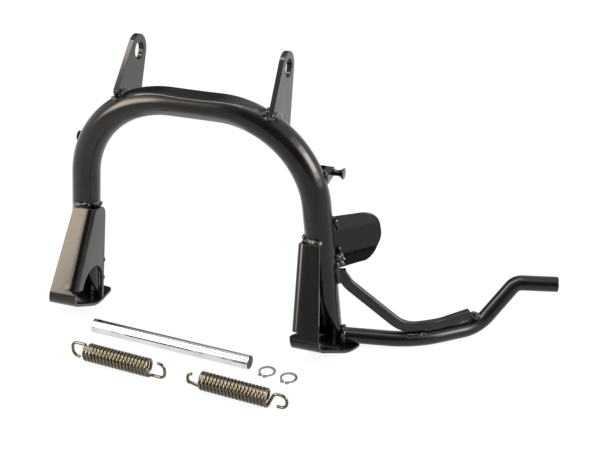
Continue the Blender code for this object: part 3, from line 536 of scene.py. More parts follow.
def lug_edge(lean, x, steps=600):
    """The lug's outline at distance x from the middle, seen from the pivot hole.

    A round end runs into straight sides that widen to the foot. Every point is then drawn
    back along its ray from the hole's centre to where that ray first meets the tube.
    """
    turn = np.linspace(math.pi - LUG_TAPER, LUG_TAPER, 90)
    arc = LUG_END_RADIUS * np.stack([np.cos(turn), np.sin(turn)], axis=1)
    feet = [(way * (LUG_END_RADIUS / math.cos(LUG_TAPER) + length * math.tan(LUG_TAPER)), -length)
            for way, length in zip((1, -1), LUG_LENGTHS)]
    foot = rounded([arc[-1], *feet, arc[0]], LUG_CORNERS, 10 * DEG)
    edge = np.concatenate([arc, resampled(foot, 0.45 * MM)[1:-1]])
    across, along = edge.T
    ray = np.stack([along * math.cos(lean) - across * math.sin(lean),
                    along * math.sin(lean) + across * math.cos(lean)], axis=1)
    hole = np.array([PIVOT_Y, PIVOT_Z])
    share = np.linspace(0, 1, steps)[:, None, None]
    depth = tube_section(x, hole + ray * share, -WELD_SINK)
    meets = (depth < 0).any(axis=0)
    first = np.where(meets, (depth < 0).argmax(axis=0), 0)
    pick = np.arange(len(edge))
    before, after = depth[np.maximum(first - 1, 0), pick], depth[first, pick]
    exact = (first - 1 + before / np.where(first > 0, before - after, 1)) / (steps - 1)
    return hole + ray * np.where(meets, exact, 1.0)[:, None]


def lug_surface(side, lean, thickness):
    """One lug: rings from the hole to the edge on both faces, joined right round."""
    rows = []
    for face in (1, -1):
        x = LUG_OFFSET + face * thickness / 2
        edge = lug_edge(lean, x)
        hole = np.array([PIVOT_Y, PIVOT_Z])
        rim = hole + unit(edge - hole) * PIVOT_HOLE
        rows += [upright(ring, x) for ring in (rim, edge)[::face]]
    return mirrored(np.stack(rows), side)


def upright(line, x):
    """Points of the upright plane set at x, which may be one value or one for each."""
    return np.column_stack([np.broadcast_to(x, len(line)), line])


def shoe_line():
    """The shoe's outer line in the upright plane, the fold's last row and the toe's height.

    Plate, sole and tongue are straight, with arcs between them. The tongue's end has its
    stations where a quarter circle's have theirs, so that its corners can be rounded.
    """
    lean, slope = math.tan(PLATE_LEAN), math.tan(SOLE_SLOPE)
    sheet = bpy.context.scene.stand_sizes.sheet
    top = -tube_radius() - JOIN_GAP - sheet * math.cos(PLATE_LEAN)
    toe_z = (SOLE_BREAK - top + lean * SHOE_TOP) * slope / (1 + lean * slope)
    toe = top - lean * (SHOE_TOP - toe_z)
    corners = [(top, SHOE_TOP), (toe, toe_z), (SOLE_BREAK, 0), (TONGUE_END, 0)]
    line = rounded(corners, [TOE_RADIUS, SOLE_BREAK_RADIUS], 4 * DEG)
    low = np.array([top - lean * (SHOE_TOP - FLANGE_LOW), FLANGE_LOW])
    heel, end = np.array([SOLE_HEEL, 0.0]), line[-1] - np.array([TONGUE_RADIUS, 0])
    turn = np.linspace(0, math.pi / 2, 10)
    tip = line[-1] + np.stack([TONGUE_RADIUS * (np.sin(turn) - 1), 0 * turn], axis=1)
    folded = evenly(line[0], low, 24)
    stations = [folded, evenly(low, line[1], 24)[1:-1], line[1:-1],
                evenly(line[-2], heel, 5)[1:], evenly(heel, end, 6)[1:-1], tip]
    return np.concatenate(stations), len(folded) - 1, toe_z


def shoe_widths(line, fold_row, toe_z, inner):
    """Inner and outer edge of the sheet at each station down the shoe.

    The width runs straight between its named values. Below the fold the inner edge comes
    in from the fold's radius on a sine, and at the tongue both edges follow its corners.
    """
    y, z = line.T
    top, toe, heel, tongue = PLATE_WIDTHS
    drop = np.clip((SHOE_TOP - z) / (SHOE_TOP - toe_z), 0, 1)
    low_y = y[z > toe_z].min()
    reach = np.clip((y - low_y) / (SOLE_HEEL - low_y), 0, 1)
    width = np.where(z > toe_z, top + (toe - top) * drop, toe + (heel - toe) * reach)
    tail = np.clip((y - SOLE_HEEL) / (TONGUE_END - 0.3 * TONGUE_RADIUS - SOLE_HEEL), 0, 1)
    width = np.where(y > SOLE_HEEL, heel + (tongue - heel) * tail, width)
    below = np.clip((line[fold_row, 1] - z) / FOLD_RELIEF, 0, 1)
    inward = np.where(z > 0.5 * toe_z, 1 - np.sin(below * math.pi / 2), 0)
    relief = (FOLD_RADIUS + SOLE_LIP) * inward
    folded = np.arange(len(line)) <= fold_row
    start = np.where(folded, inner + FOLD_RADIUS, inner - SOLE_LIP + relief)
    rounding = np.clip(y - (TONGUE_END - TONGUE_RADIUS), 0, TONGUE_RADIUS)
    inset = TONGUE_RADIUS - np.sqrt(TONGUE_RADIUS ** 2 - rounding ** 2)
    return start + inset, inner + width - inset


def flange_edge(fold):
    """The flange's free edge: round the arched cut, down to the foot and up the back."""
    low, radius = fold[-1], ARCH_CUT_RADIUS
    centre = np.array([FLANGE_REAR[0] - FLANGE_STRIP - radius, ARCH_CUT_HEIGHT])
    lift = np.clip(low[1] - centre[1] - ARCH_CUT_CLEAR, -0.9 * radius, 0.6 * radius)
    turn = np.linspace(math.pi - math.asin(lift / radius), 0, 40)
    arch = centre + radius * np.stack([np.cos(turn), np.sin(turn)], axis=1)
    arch = arch[arch[:, 0] > low[0] + ARCH_CUT_CLEAR]
    rear = rounded([(FLANGE_REAR[0], TUBE_CUT_BACK), (FLANGE_REAR[1], SHOE_TOP - FLANGE_TOP_DROP),
                    fold[0]], [FLANGE_CORNER], 4 * DEG)
    return np.concatenate([[low], arch, [[centre[0] + radius, TUBE_CUT_BACK]], rear])


def shoe_surfaces(side, sheet):
    """One folded shoe: both skins of plate, toe and sole, the fold, the flange and all rims.

    The inner skin is the outer line moved square to itself by the sheet's thickness, and
    the fold is a quarter circle carried down the plate's edge.
    """
    line, fold_row, toe_z = shoe_line()
    fold = line[:fold_row + 1]
    normal = np.array([math.cos(PLATE_LEAN), -math.sin(PLATE_LEAN)])
    tangents = directions(line)
    inside = line + np.stack([-tangents[:, 1], tangents[:, 0]], axis=1) * sheet
    inside[:fold_row + 1] = fold + normal * sheet
    inner = FOOT_HALF - tube_radius() - JOIN_GAP - sheet
    start, finish = shoe_widths(line, fold_row, toe_z, inner)
    across = start[:, None] + (finish - start)[:, None] * np.linspace(0, 1, 7)
    outer, back = (np.concatenate([across[..., None], np.repeat(skin[:, None], 7, axis=1)], axis=2)
                   for skin in (line, inside))
    centre = fold + normal * FOLD_RADIUS
    turn = np.linspace(0, math.pi / 2, 13)
    bands = []
    for radius in (FOLD_RADIUS, FOLD_RADIUS - sheet):
        x = np.tile(inner + FOLD_RADIUS - radius * np.sin(turn), (len(fold), 1))
        spot = centre[:, None] - normal * (radius * np.cos(turn))[:, None]
        bands.append(np.concatenate([x[..., None], spot], axis=2))
    edge = flange_edge(centre)
    faces = [upright(np.concatenate([centre, edge[1:]]), inner + x) for x in (0, sheet)]
    surfaces = sheets(outer, back) + strips(
        (outer[:, -1], back[:, -1]), (outer[0], back[0]), (outer[-1], back[-1]),
        (outer[fold_row:, 0], back[fold_row:, 0]))
    surfaces += sheets(*bands) + strips(*([band[row] for band in bands] for row in (0, -1)))
    surfaces += [(face[:-1],) for face in faces] + strips([face[fold_row:] for face in faces])
    return [(sheared(points, side), *wraps) for points, *wraps in surfaces]


def sheared(points, side):
    """Points leaned with the splayed leg, on the wanted side."""
    leaned = points.copy()
    leaned[..., 0] -= points[..., 2] * SPLAY_SLOPE
    return mirrored(leaned, side)


def lever_line():
    """The lever's centre line from inside the leg's outer skin to its tip."""
    sizes = bpy.context.scene.stand_sizes
    radius = sizes.lever_diameter / 2
    belly = radius + JOIN_GAP
    root_z = sizes.sheet + JOIN_GAP + radius + LEVER_ROOT_LIFT
    axis = np.array([FOOT_HALF - root_z * SPLAY_SLOPE, 0, root_z])
    heights = (belly, belly, belly + LEVER_RISE)
    corners = np.array([(FOOT_HALF + x * MM, y * MM, z)
                        for (x, y), z in zip(LEVER_CORNERS, heights)])
    away = unit((corners[0] - axis) * np.array([1, 1, 0]))
    root = axis + away * (tube_radius() - WELD_SINK)
    heading = np.array([math.cos(LEVER_TIP_HEADING), math.sin(LEVER_TIP_HEADING), 0])
    tip = corners[-1] + heading * LEVER_TIP
    return resampled(rounded([root, *corners, tip], LEVER_BENDS, 2 * DEG), LEVER_STEP)


def gusset_surface(thickness):
    """The flat bar on edge: a rounded oblong carried over the lever's plan line.

    Its height follows its own line over the distance along the lever seen from above.
    """
    lever = lever_line()
    radius = bpy.context.scene.stand_sizes.lever_diameter / 2
    plan = lever[:, :2]
    run = lengths(plan) - (JOIN_GAP + LEVER_SEAT + WELD_SINK)
    seat = radius + GUSSET_CLEAR + GUSSET_DEPTH / 2
    rest = JOIN_GAP + radius + seat
    end = float(np.interp(GUSSET_PLACES[-1], run, lever[:, 2])) + seat + GUSSET_END_LIFT
    root = GUSSET_DEPTH / 2 - GUSSET_ROOT_SET_BACK
    corners = zip((root, root + GUSSET_BEND_LEAN, *GUSSET_PLACES),
                  (GUSSET_TOP, GUSSET_TOP - GUSSET_BEND_DROP, rest, rest, end))
    line = resampled(rounded(list(corners), GUSSET_BENDS, 3 * DEG), 2 * MM)
    step = directions(line)
    place, heading = (np.stack([np.interp(line[:, 0], run, axis) for axis in points.T], axis=1)
                      for points in (plan, directions(plan)))
    place += heading * np.minimum(line[:, :1], 0)
    side = np.column_stack([heading[:, 1], -heading[:, 0], 0 * line[:, 0]])
    forward = np.column_stack([heading * step[:, :1], step[:, 1]])
    section = rounded_oblong(thickness, GUSSET_DEPTH, GUSSET_EDGE)
    return laid(np.column_stack([place, line[:, 1]]), section, side, np.cross(side, forward))


def rounded_oblong(width, depth, radius):
    """The outline of an oblong with rounded corners, once round."""
    x, y = width / 2, depth / 2
    corners = [(0, -y), (x, -y), (x, y), (-x, y), (-x, -y), (0, -y)]
    return rounded(corners, [radius] * 4, 22.5 * DEG)[:-1]


def step_axes():
    """Outward, front and up directions of the step plate, and its middle at the leg."""
    out = np.array([math.cos(STEP_HEADING) * math.cos(STEP_TILT),
                    math.sin(STEP_HEADING) * math.cos(STEP_TILT), math.sin(STEP_TILT)])
    front = np.array([math.sin(STEP_HEADING), -math.cos(STEP_HEADING), 0])
    up = np.cross(front, out)
    axis = np.array([FOOT_HALF - STEP_HEIGHT * SPLAY_SLOPE, 0, STEP_HEIGHT])
    return out, front, up, axis - front * STEP_SET_BACK


def step_surfaces(sheet):
    """The trough: its bent section carried outward, with a rounded outer end.

    Each line of the trough starts where it meets the leg, which is a root of a quadratic,
    and ends on the outline. The lines are cut in two blocks, so that below the notch's top
    only the outer block is left.
    """
    out, front, up, origin = step_axes()
    half = STEP_WEB / 2
    ends = [(lip * math.sin(lean), way * (half + lip * math.cos(lean)))
            for way, (lip, lean) in ((1, STEP_TOP_LIP), (-1, STEP_LOW_LIP))]
    line = rounded([ends[0], (0, half), (0, -half), ends[1]], STEP_FOLDS, 3 * DEG)
    line = resampled(line, 0.8 * MM)
    tangents = directions(line)
    back = line + np.stack([tangents[:, 1], -tangents[:, 0]], axis=1) * sheet
    outline = step_outline()
    notch = int(np.abs(line[:, 1] + STEP_NOTCH[1]).argmin())
    blocks = []
    for skin in (line, back):
        foot = origin + skin[:, :1] * front + skin[:, 1:] * up
        start = leg_distance(foot, out)
        reach = np.interp(-skin[:, 1], -outline[:, 1], outline[:, 0])
        reach = np.maximum(reach, start + STEP_LEAST)
        middle = np.minimum(STEP_NOTCH[0], start + 0.45 * (reach - start))
        for low, high, count in ((start, middle, 8), (middle, reach, 32)):
            share = np.linspace(0, 1, count)
            along = low[:, None] + (high - low)[:, None] * share
            blocks.append(foot[:, None] + along[..., None] * out)
    near, near_end, far, far_end = blocks
    near, far = near[:notch + 1], far[:notch + 1]
    return sheets(near, near_end, far, far_end) + strips(
        (near[0], far[0]), (near_end[0], far_end[0]), (near[:, 0], far[:, 0]),
        (near[-1], far[-1]), (near_end[notch:, 0], far_end[notch:, 0]),
        (near_end[-1], far_end[-1]), (near_end[:, -1], far_end[:, -1]))


def step_outline():
    """The step plate's end seen from the front, as (along, up) from the top edge round."""
    corners = [(0, STEP_TOP_EDGE[0]), (STEP_REACH, STEP_TOP_EDGE[1]),
               (STEP_REACH, -STEP_LOW_EDGE), (0, -STEP_LOW_EDGE - 0.001 * MM)]
    return rounded(corners, STEP_CORNERS, 2 * DEG)


def leg_distance(points, heading):
    """How far along a heading each point leaves the right leg's skin, less the weld's sink."""
    axis = unit(np.array([-SPLAY_SLOPE, 0, 1.0]))
    base = np.array([FOOT_HALF, 0, 0])
    flat = (points - base) - ((points - base) @ axis)[:, None] * axis
    step = heading - (heading @ axis) * axis
    radius = tube_radius() - WELD_SINK
    a, b = step @ step, flat @ step
    c = (flat * flat).sum(axis=1) - radius ** 2
    return (-b + np.sqrt(np.maximum(b * b - a * c, 0))) / a


def leg_x(height):
    """The arch's centre line at a height on the right side, bend included."""
    if height > BEND_Z + ARCH_BEND * math.sin(SPLAY):
        return BEND_X + math.sqrt(ARCH_BEND ** 2 - min(height - BEND_Z, ARCH_BEND) ** 2)
    return FOOT_HALF - height * SPLAY_SLOPE


def bracket_surfaces(side, width, drop):
    """A block behind the leg: its outline in the upright plane, drawn out along X.

    Where the leg is, the front of the outline stops inside the tube's wall, at the root
    of the squared radius less the squared offset.
    """
    front = PEG_BACK - BRACKET_REACH
    turn = np.linspace(-50 * DEG, 90 * DEG, 14)
    arc = np.stack([PEG_BACK + BRACKET_RADIUS * np.cos(turn),
                    PEG_HEIGHT + BRACKET_RADIUS * np.sin(turn)], axis=1)
    rest = [(front, PEG_HEIGHT + BRACKET_RADIUS), (front, PEG_HEIGHT - BRACKET_RADIUS)]
    if drop:
        rest += [(PEG_BACK - WEDGE_TIP - WEDGE_FLAT, PEG_HEIGHT - drop),
                 (PEG_BACK - WEDGE_TIP, PEG_HEIGHT - drop)]
    outline = np.concatenate([arc, rest])
    x = BRACKET_START + width * np.linspace(0, 1, 24)
    inside = np.sqrt(np.maximum((tube_radius() - WELD_SINK) ** 2 - x ** 2, 0))
    y = np.maximum(outline[None, :, 0], inside[:, None])
    rows = np.stack([np.broadcast_to((leg_x(PEG_HEIGHT) + x)[:, None], y.shape), y,
                     np.broadcast_to(outline[None, :, 1], y.shape)], axis=2)
    rows = mirrored(rows, side)
    return [(rows, False, True), (rows[0],), (rows[-1],)]


def peg_surface(side, head):
    """The turned pin: a straight root, a waist and a flared head with a rounded rim."""
    root, waist, rim = PEG_ROOT, PEG_WAIST, head / 2
    stations = [(0, 0), (0, root), (0.15, root), (0.36, waist), (0.55, waist * 1.12),
                (0.75, (waist + rim) / 2), (0.89, rim), (1.0, rim), (1.0, 0)]
    profile = np.array([(share * PEG_LENGTH, radius) for share, radius in stations])
    points = turned(rounded(profile, PEG_CORNERS, 10 * DEG), 48)
    start = leg_x(PEG_HEIGHT) + BRACKET_START + BRACKET_WIDTH
    return mirrored(points + np.array([start, PEG_BACK, PEG_HEIGHT]), side)


def shaft_surface(diameter):
    """The ground shaft: a grooved, chamfered profile turned about its axis."""
    radius, half = diameter / 2, SHAFT_LENGTH / 2
    near, far = half - GROOVE_INSET, half - GROOVE_INSET - GROOVE_WIDTH
    side = np.array([(0, radius), (far, radius), (far, radius - GROOVE_DEPTH),
                     (near, radius - GROOVE_DEPTH), (near, radius), (half - SHAFT_CHAMFER, radius),
                     (half, radius - SHAFT_CHAMFER), (half, 0)])
    profile = np.concatenate([side[::-1] * np.array([-1, 1]), side[1:]])
    return placed(turned(profile, SHAFT_SIDES), SHAFT_PLACE, radius)


def spring_line(hooks, diameter, wire):
    """The wire's centre line: a hook, close coils and the other hook.

    The coils are a helix about X; each hook bends out of the spring's upright plane.
    """
    radius = (diameter - wire) / 2
    length = SPRING_PITCH * SPRING_TURNS
    first, last = (math.copysign(math.pi / 2, hook[0][1]) for hook in hooks)
    turns = SPRING_TURNS + (last - first) / (2 * math.pi)
    share = np.linspace(0, 1, int(turns * COIL_POINTS))[1:-1]
    angle = first + 2 * math.pi * turns * share
    coil = upright(radius * np.stack([np.cos(angle), np.sin(angle)], axis=1),
                   length * (share - 0.5))
    ends = []
    for sign, hook, root in zip((-1, 1), hooks, (coil[0], coil[-1])):
        corners = [(sign * length / 2 + along * MM, 0, up * radius) for along, up in hook]
        radii = [HOOK_ROOT] + [HOOK_BEND] * (len(hook) - 2)
        ends.append(rounded([root, *corners], radii, 6 * DEG)[1:])
    return np.concatenate([ends[0][::-1], coil, ends[1]])


def bead(path, size, seed):
    """A weld bead: a lumpy round bar along a seam.

    Its radius is the bead's size times 0.9 plus a ripple along it and slower lumps along
    and across it, a few sine waves with seeded phases. The ends follow a quarter circle.
    """
    chance = np.random.default_rng(seed)
    path = resampled(np.asarray(path, float), BEAD_STEP)
    run = lengths(path)[:, None]
    turn = np.arange(BEAD_SIDES) * 2 * math.pi / BEAD_SIDES
    phases = chance.uniform(0, 2 * math.pi, 8)
    ripple = 0.04 * np.abs(np.sin(math.pi * run / BEAD_PITCH + phases[0]))
    lumps = sum(0.06 * np.sin(run * 2 * math.pi / wave + waves_round * turn + phase)
                for (wave, waves_round), phase in zip(BEAD_LUMPS, phases[1:5]))
    ends = np.minimum(run, run[-1] - run) / size
    taper = np.sqrt(np.clip(1 - np.clip(1 - ends, 0, 1) ** 2, 0, 1))
    across = laid(0 * path, circle(1.0, BEAD_SIDES), *crossways(path))
    return path[:, None] + across * (size * taper * (0.9 + ripple + lumps))[..., None]


# Seams of the welds

def saddle_seam(side, x, start, end):
    """The seam between a lug's face at x and the tube, from one turn round it to another.

    A point at a turn lies on the bend's ring, whose radius is that of the bend plus the
    tube's own times the turn's cosine.
    """
    turn = np.linspace(start, end, 40)
    ring = ARCH_BEND + tube_radius() * np.cos(turn)
    z = BEND_Z + np.sqrt(ring ** 2 - (x - BEND_X) ** 2)
    return mirrored(upright(np.stack([tube_radius() * np.sin(turn), z], axis=1), x), side)


def round_the_leg(height, first, last, grow, fall):
    """Points round a leg's skin at a height, by angles from straight ahead towards outside."""
    turn = np.linspace(first, last, 24)
    radius = tube_radius() + grow
    z = height - fall * np.linspace(0, 1, 24)
    x = FOOT_HALF - z * SPLAY_SLOPE + radius * np.sin(turn)
    return np.stack([x, -radius * np.cos(turn), z], axis=1)


def lever_collar(radius):
    """A ring round the lever's root, open below, a little way out from the leg."""
    line = lever_line()
    ahead = unit(line[6] - line[0])
    side = unit(np.cross(ahead, (0, 0, 1.0)))
    turn = np.linspace(*COLLAR_TURN, 40)[:, None]
    ring = side * np.cos(turn) + np.cross(side, ahead) * np.sin(turn)
    return line[0] + ahead * COLLAR_REACH + ring * radius


def peg_seams():
    """The seams of a peg's bracket on the leg: over its top, and down its outer side."""
    x = np.linspace(*PEG_WELD_SPAN, 20)
    y = np.sqrt((tube_radius() + SEAM_OUT) ** 2 - x ** 2)
    top = np.stack([leg_x(PEG_HEIGHT) + x, y, np.full(20, PEG_HEIGHT + BRACKET_RADIUS)], axis=1)
    down = evenly(top[-1], top[-1] - np.array([0, 0, 2 * BRACKET_RADIUS]), 12)
    return [top, down]


def weld_seams(sizes):
    """Every weld's seam and relative size, by the piece it belongs to."""
    groups = {}
    for name, side in SIDES:
        saddles = [(LUG_OFFSET + face * (sizes.lug / 2 + LUG_WELD_OUT), *LUG_WELD_TURN,
                    LUG_WELD_SIZE) for face in (1, -1)]
        saddles += [(LUG_OFFSET + x * MM, (turn - LUMP_TURN) * DEG, (turn + LUMP_TURN) * DEG, size)
                    for x, turn, size in FRONT_LUMPS[name]]
        groups["lug_weld_" + name] = [(saddle_seam(side, *row), size) for *row, size in saddles]
        seams = [(round_the_leg(*row), size) for *row, size in SHOE_WELDS]
        seams += [(np.array(points) * MM, size) for points, size in FLANGE_WELDS]
        groups["shoe_weld_" + name] = [(mirrored(points, side), size) for points, size in seams]
        groups["peg_weld_" + name] = [(mirrored(points, side), PEG_WELD_SIZE)
                                      for points in peg_seams()]
    collar = lever_collar(sizes.lever_diameter / 2 + SEAM_OUT)
    groups["outer_weld"] = [(np.array(points) * MM, size) for points, size in OUTER_WELDS]
    groups["outer_weld"].append((collar, COLLAR_SIZE))
    return groups


# Finishes

class Tree:
    """The nodes of a material or of the world, with short ways to add to them."""

    def __init__(self, holder, coordinates="Object"):
        holder.use_nodes = True
        self.nodes, self.links = holder.node_tree.nodes, holder.node_tree.links
        self.place = self.nodes.new("ShaderNodeTexCoord").outputs[coordinates]

    def put(self, node, values):
        """Sets a node's inputs, or links those whose value is another node's output."""
        for name, value in values.items():
            if isinstance(value, bpy.types.NodeSocket):
                self.links.new(value, node.inputs[name])
            else:
                node.inputs[name].default_value = value

    def add(self, kind, values, output, **settings):
        """One of the outputs of a new node, which is given its settings and inputs."""
        node = self.nodes.new("ShaderNode" + kind)
        for name, value in settings.items():
            setattr(node, name, value)
        self.put(node, values)
        return node.outputs[output]

    def noise(self, scale, detail, stretch=None):
        """A noise pattern, drawn out along the axes when a stretch is given."""
        place = self.place
        if stretch:
            place = self.add("Mapping", {"Vector": place, "Scale": stretch}, "Vector")
        return self.add("TexNoise", {"Vector": place, "Scale": scale, "Detail": detail}, "Fac")

    def ramp(self, value, low, high, start=0.3, end=0.7):
        """A value's range from start to end mapped to lie between two others."""
        return self.add("MapRange", {"Value": value, "From Min": start, "From Max": end,
                                     "To Min": low, "To Max": high}, "Result")

    def mixed(self, factor, first, second, kind="FLOAT"):
        """Two values mixed by a factor; each may be another node's output."""
        values = {"Factor": factor, "A": first, "B": second}
        return self.add("Mix", values, "Result", data_type=kind)

    def blended(self, factor, first, second):
        """Two colours mixed by a pattern."""
        return self.mixed(factor, (*first, 1), (*second, 1), "RGBA")

    def facing(self, direction):
        """How far each place lies along a direction."""
        values = {0: self.place, 1: direction}
        return self.add("VectorMath", values, "Value", operation="DOT_PRODUCT")

    def maths(self, operation, first, second=0.0):
        """One step of arithmetic; each value may be another node's output."""
        return self.add("Math", {0: first, 1: second}, "Value", operation=operation)

    def bumped(self, height, distance):
        """A height pattern turned into relief."""
        values = {"Height": height, "Distance": distance, "Strength": 1.0}
        return self.add("Bump", values, "Normal")


def new_finish(name):
    """An empty material, its tree and its shader."""
    material = bpy.data.materials.new(name)
    tree = Tree(material)
    return material, tree, tree.nodes["Principled BSDF"]


def scaled(colour, factor):
    """A colour made lighter or darker."""
    return tuple(min(1.0, channel * factor) for channel in colour)


def paint_finish(name, colour, rough, relief, coat=0.64, coat_rough=0.10):
    """Gloss black stove paint: faint orange peel, uneven gloss and a clear coat."""
    material, tree, shader = new_finish(name)
    tint = tree.ramp(tree.noise(26, 4), 0, 1)
    tree.put(shader, {
        "Base Color": tree.blended(tint, colour, scaled(colour, 1.6)),
        "Roughness": tree.ramp(tree.noise(55, 5), rough * 0.85, rough * 1.2),
        "Normal": tree.bumped(tree.noise(420, 2), relief),
        "Specular IOR Level": 0.08, "Coat Weight": coat,
        "Coat Roughness": coat_rough, "Coat IOR": 1.5})
    return material


def steel_finish(name, colour, rough, turned_along, place=None, reach=None):
    """Ground steel: fine rings round the axis, uneven polish and a little tarnish.

    Where a bar's place and reach are given, its end faces are dull and carry painted shade, a
    near-black colour: all that lies further than the reach from the bar's middle along its axis.
    """
    material, tree, shader = new_finish(name)
    tarnish = tree.ramp(tree.noise(40, 4), 0, 1)
    base = tree.blended(tarnish, colour, scaled(colour, 0.82))
    gloss = tree.ramp(tree.noise(90, 4), rough * 0.7, rough * 1.4)
    if place:
        x, y, angle = place
        axis = (math.cos(angle), math.sin(angle), 0.0)
        middle = float(np.dot(PLACE + np.array([x, y, 0]), axis))
        off = tree.maths("ABSOLUTE", tree.maths("SUBTRACT", tree.facing(axis), middle))
        past = tree.maths("GREATER_THAN", off, reach)
        # Painted shade: the end faces take the near-black colour
        base = tree.mixed(past, base, (*END_SHADE_STEEL, 1), "RGBA")
        gloss = tree.mixed(past, gloss, SAWN_ROUGHNESS)
    relief = tree.bumped(tree.noise(1.0, 4, turned_along), 0.001 * MM)
    tree.put(shader, {"Metallic": 1.0, "Base Color": base, "Roughness": gloss, "Normal": relief})
    return material


def zinc_finish(name, colour):
    """Yellow passivated zinc: metal whose hue wanders between straw, olive and rose."""
    material, tree, shader = new_finish(name)
    olive, rose = np.multiply(colour, ((0.80, 0.86, 0.76), (1.12, 1.0, 0.98)))
    tree.put(shader, {
        "Metallic": 1.0,
        "Base Color": tree.blended(tree.ramp(tree.noise(130, 3), 0, 1, 0.35, 0.65), olive, rose),
        "Roughness": tree.ramp(tree.noise(300, 4), 0.16, 0.26),
        "Normal": tree.bumped(tree.noise(600, 3), 0.004 * MM)})
    return material


def floor_finish(colour):
    """A pale floor that the camera sees as nearly plain white, with a faint shadow.

    Mirrored and refracted rays see it nearly white too, and less bright on the dim side.
    """
    material, tree, shader = new_finish("pale_floor")
    base = tree.blended(tree.noise(3, 3), colour, scaled(colour, 0.985))
    tree.put(shader, {"Base Color": base, "Roughness": 0.9, "Specular IOR Level": 0.1})
    rays = tree.nodes.new("ShaderNodeLightPath").outputs
    camera = rays["Is Camera Ray"]
    mirrored_ray = tree.maths("MAXIMUM", rays["Is Glossy Ray"], rays["Is Transmission Ray"])
    share = tree.mixed(camera, tree.mixed(mirrored_ray, 0.0, FLOOR_GLOW), FLOOR_GLOW)
    level = tree.ramp(tree.facing(FLOOR_DIM_SIDE), 1.0, FLOOR_DIM_LEVEL, *FLOOR_DIM_REACH)
    strength = tree.mixed(camera, level, 1.0)
    glow = tree.add("Emission", {"Color": (1, 1, 1, 1), "Strength": strength}, "Emission")
    both = tree.add("MixShader", {"Fac": share, 1: shader.outputs["BSDF"], 2: glow}, "Shader")
    tree.put(tree.nodes["Material Output"], {"Surface": both})
    return material


# What a user may change

def length_setting(name, about, value):
    """A length, with its name, description and default."""
    return FloatProperty(name=name, description=about, subtype="DISTANCE", unit="LENGTH",
                         default=value)


def colour_setting(name, about, value):
    """A colour, with its name, description and default."""
    return FloatVectorProperty(name=name, description=about, subtype="COLOR", size=3,
                               min=0, max=1, default=value)


class StandSizes(bpy.types.PropertyGroup):
    """Sizes of the stand's pieces."""

    tube_diameter: length_setting(
        "Tube diameter", "Outside of the arch tube", round(node_size("arch_tube", 1), 5))
    tube_wall: length_setting("Tube wall", "Thickness of the arch tube's wall", 2.5 * MM)
    lug: length_setting(
        "Lug thickness", "Thickness of each pivot lug", round(node_size("pivot_lug_left", 0), 5))
    sheet: length_setting(
        "Sheet thickness", "Thickness of the shoes' and step plate's sheet", 3.0 * MM)
    lever_diameter: length_setting(
        "Lever diameter", "Diameter of the foot lever's bar", 15.6 * MM)
    gusset: length_setting("Gusset thickness", "Thickness of the gusset bar", 6.0 * MM)
    peg_head: length_setting("Peg head", "Diameter of each spring peg's head", 11.0 * MM)
    shaft_diameter: length_setting(
        "Shaft diameter", "Diameter of the pivot shaft", round(node_size("pivot_shaft", 2), 5))
    spring_diameter: length_setting(
        "Spring diameter", "Outside of each spring's coils", 18.5 * MM)
    wire: length_setting("Spring wire", "Diameter of the springs' wire", 3.0 * MM)
    weld: length_setting("Weld size", "Radius of the weld beads", 2.3 * MM)
    edge: length_setting("Edge rounding", "Rounding of the sheet's cut edges", 0.7 * MM)


class StandColours(bpy.types.PropertyGroup):
    """Colours of the finishes and the stage."""

    paint: colour_setting("Paint", "Stove paint on the stand", (0.0026, 0.0024, 0.0024))
    polished: colour_setting("Polished steel", "Ground steel of the shaft", (0.72, 0.73, 0.74))
    zinc: colour_setting("Yellow zinc", "Plating of the springs", (0.15, 0.138, 0.105))
    clip: colour_setting("Circlip steel", "Spring steel of the circlips", (0.42, 0.42, 0.43))
    floor: colour_setting("Floor", "The floor's own colour", (0.93, 0.93, 0.93))
    light: colour_setting("Front light", "Colour of the large front light", (1.0, 0.82, 0.63))


# Steps

class STAND_OT_arch(bpy.types.Operator):
    """Make the smooth arch tube with its pressed flats and open, slanting feet"""

    bl_idname = "stand.arch"
    bl_label = "Arch Tube"

    def execute(self, context):
        wall = context.scene.stand_sizes.tube_wall
        outer = arch_skin(tube_radius(), ARCH_STEP, ARCH_SIDES)
        inner = arch_skin(tube_radius() - wall, WALL_STEP, ARCH_SIDES)
        closed = np.concatenate([outer, inner[::-1]])
        painted(context, "smooth_arch", [(closed, True, True)], "arch_tube", sharp=50 * DEG)
        return {"FINISHED"}


class STAND_OT_lugs(bpy.types.Operator):
    """Make the two pivot lugs, saddled on the arch"""

    bl_idname = "stand.lugs"
    bl_label = "Pivot Lugs"

    def execute(self, context):
        sizes = context.scene.stand_sizes
        for name, side in SIDES:
            surface = lug_surface(side, LUG_LEANS[name], sizes.lug)
            painted(context, "lug_plate_" + name, [(surface, True, True)], "pivot_lug_" + name,
                    easing=sizes.edge)
        return {"FINISHED"}


class STAND_OT_shoes(bpy.types.Operator):
    """Make the two shoes folded from sheet"""

    bl_idname = "stand.shoes"
    bl_label = "Folded Shoes"

    def execute(self, context):
        sizes = context.scene.stand_sizes
        for name, side in SIDES:
            painted(context, "folded_shoe_" + name, shoe_surfaces(side, sizes.sheet),
                    "foot_shoe_" + name, easing=sizes.edge)
        return {"FINISHED"}


class STAND_OT_lever(bpy.types.Operator):
    """Make the foot lever and its gusset"""

    bl_idname = "stand.lever"
    bl_label = "Foot Lever and Gusset"

    def execute(self, context):
        sizes = context.scene.stand_sizes
        surface = bar(lever_line(), sizes.lever_diameter / 2, LEVER_SIDES, LEVER_EASING)
        painted(context, "smooth_lever", [(surface, False, True)], "foot_lever", sharp=60 * DEG)
        surface = gusset_surface(sizes.gusset)
        capped = [(surface, False, True), (surface[0],), (surface[-1],)]
        painted(context, "smooth_gusset", capped, "lever_gusset", sharp=50 * DEG,
                easing=sizes.edge)
        return {"FINISHED"}


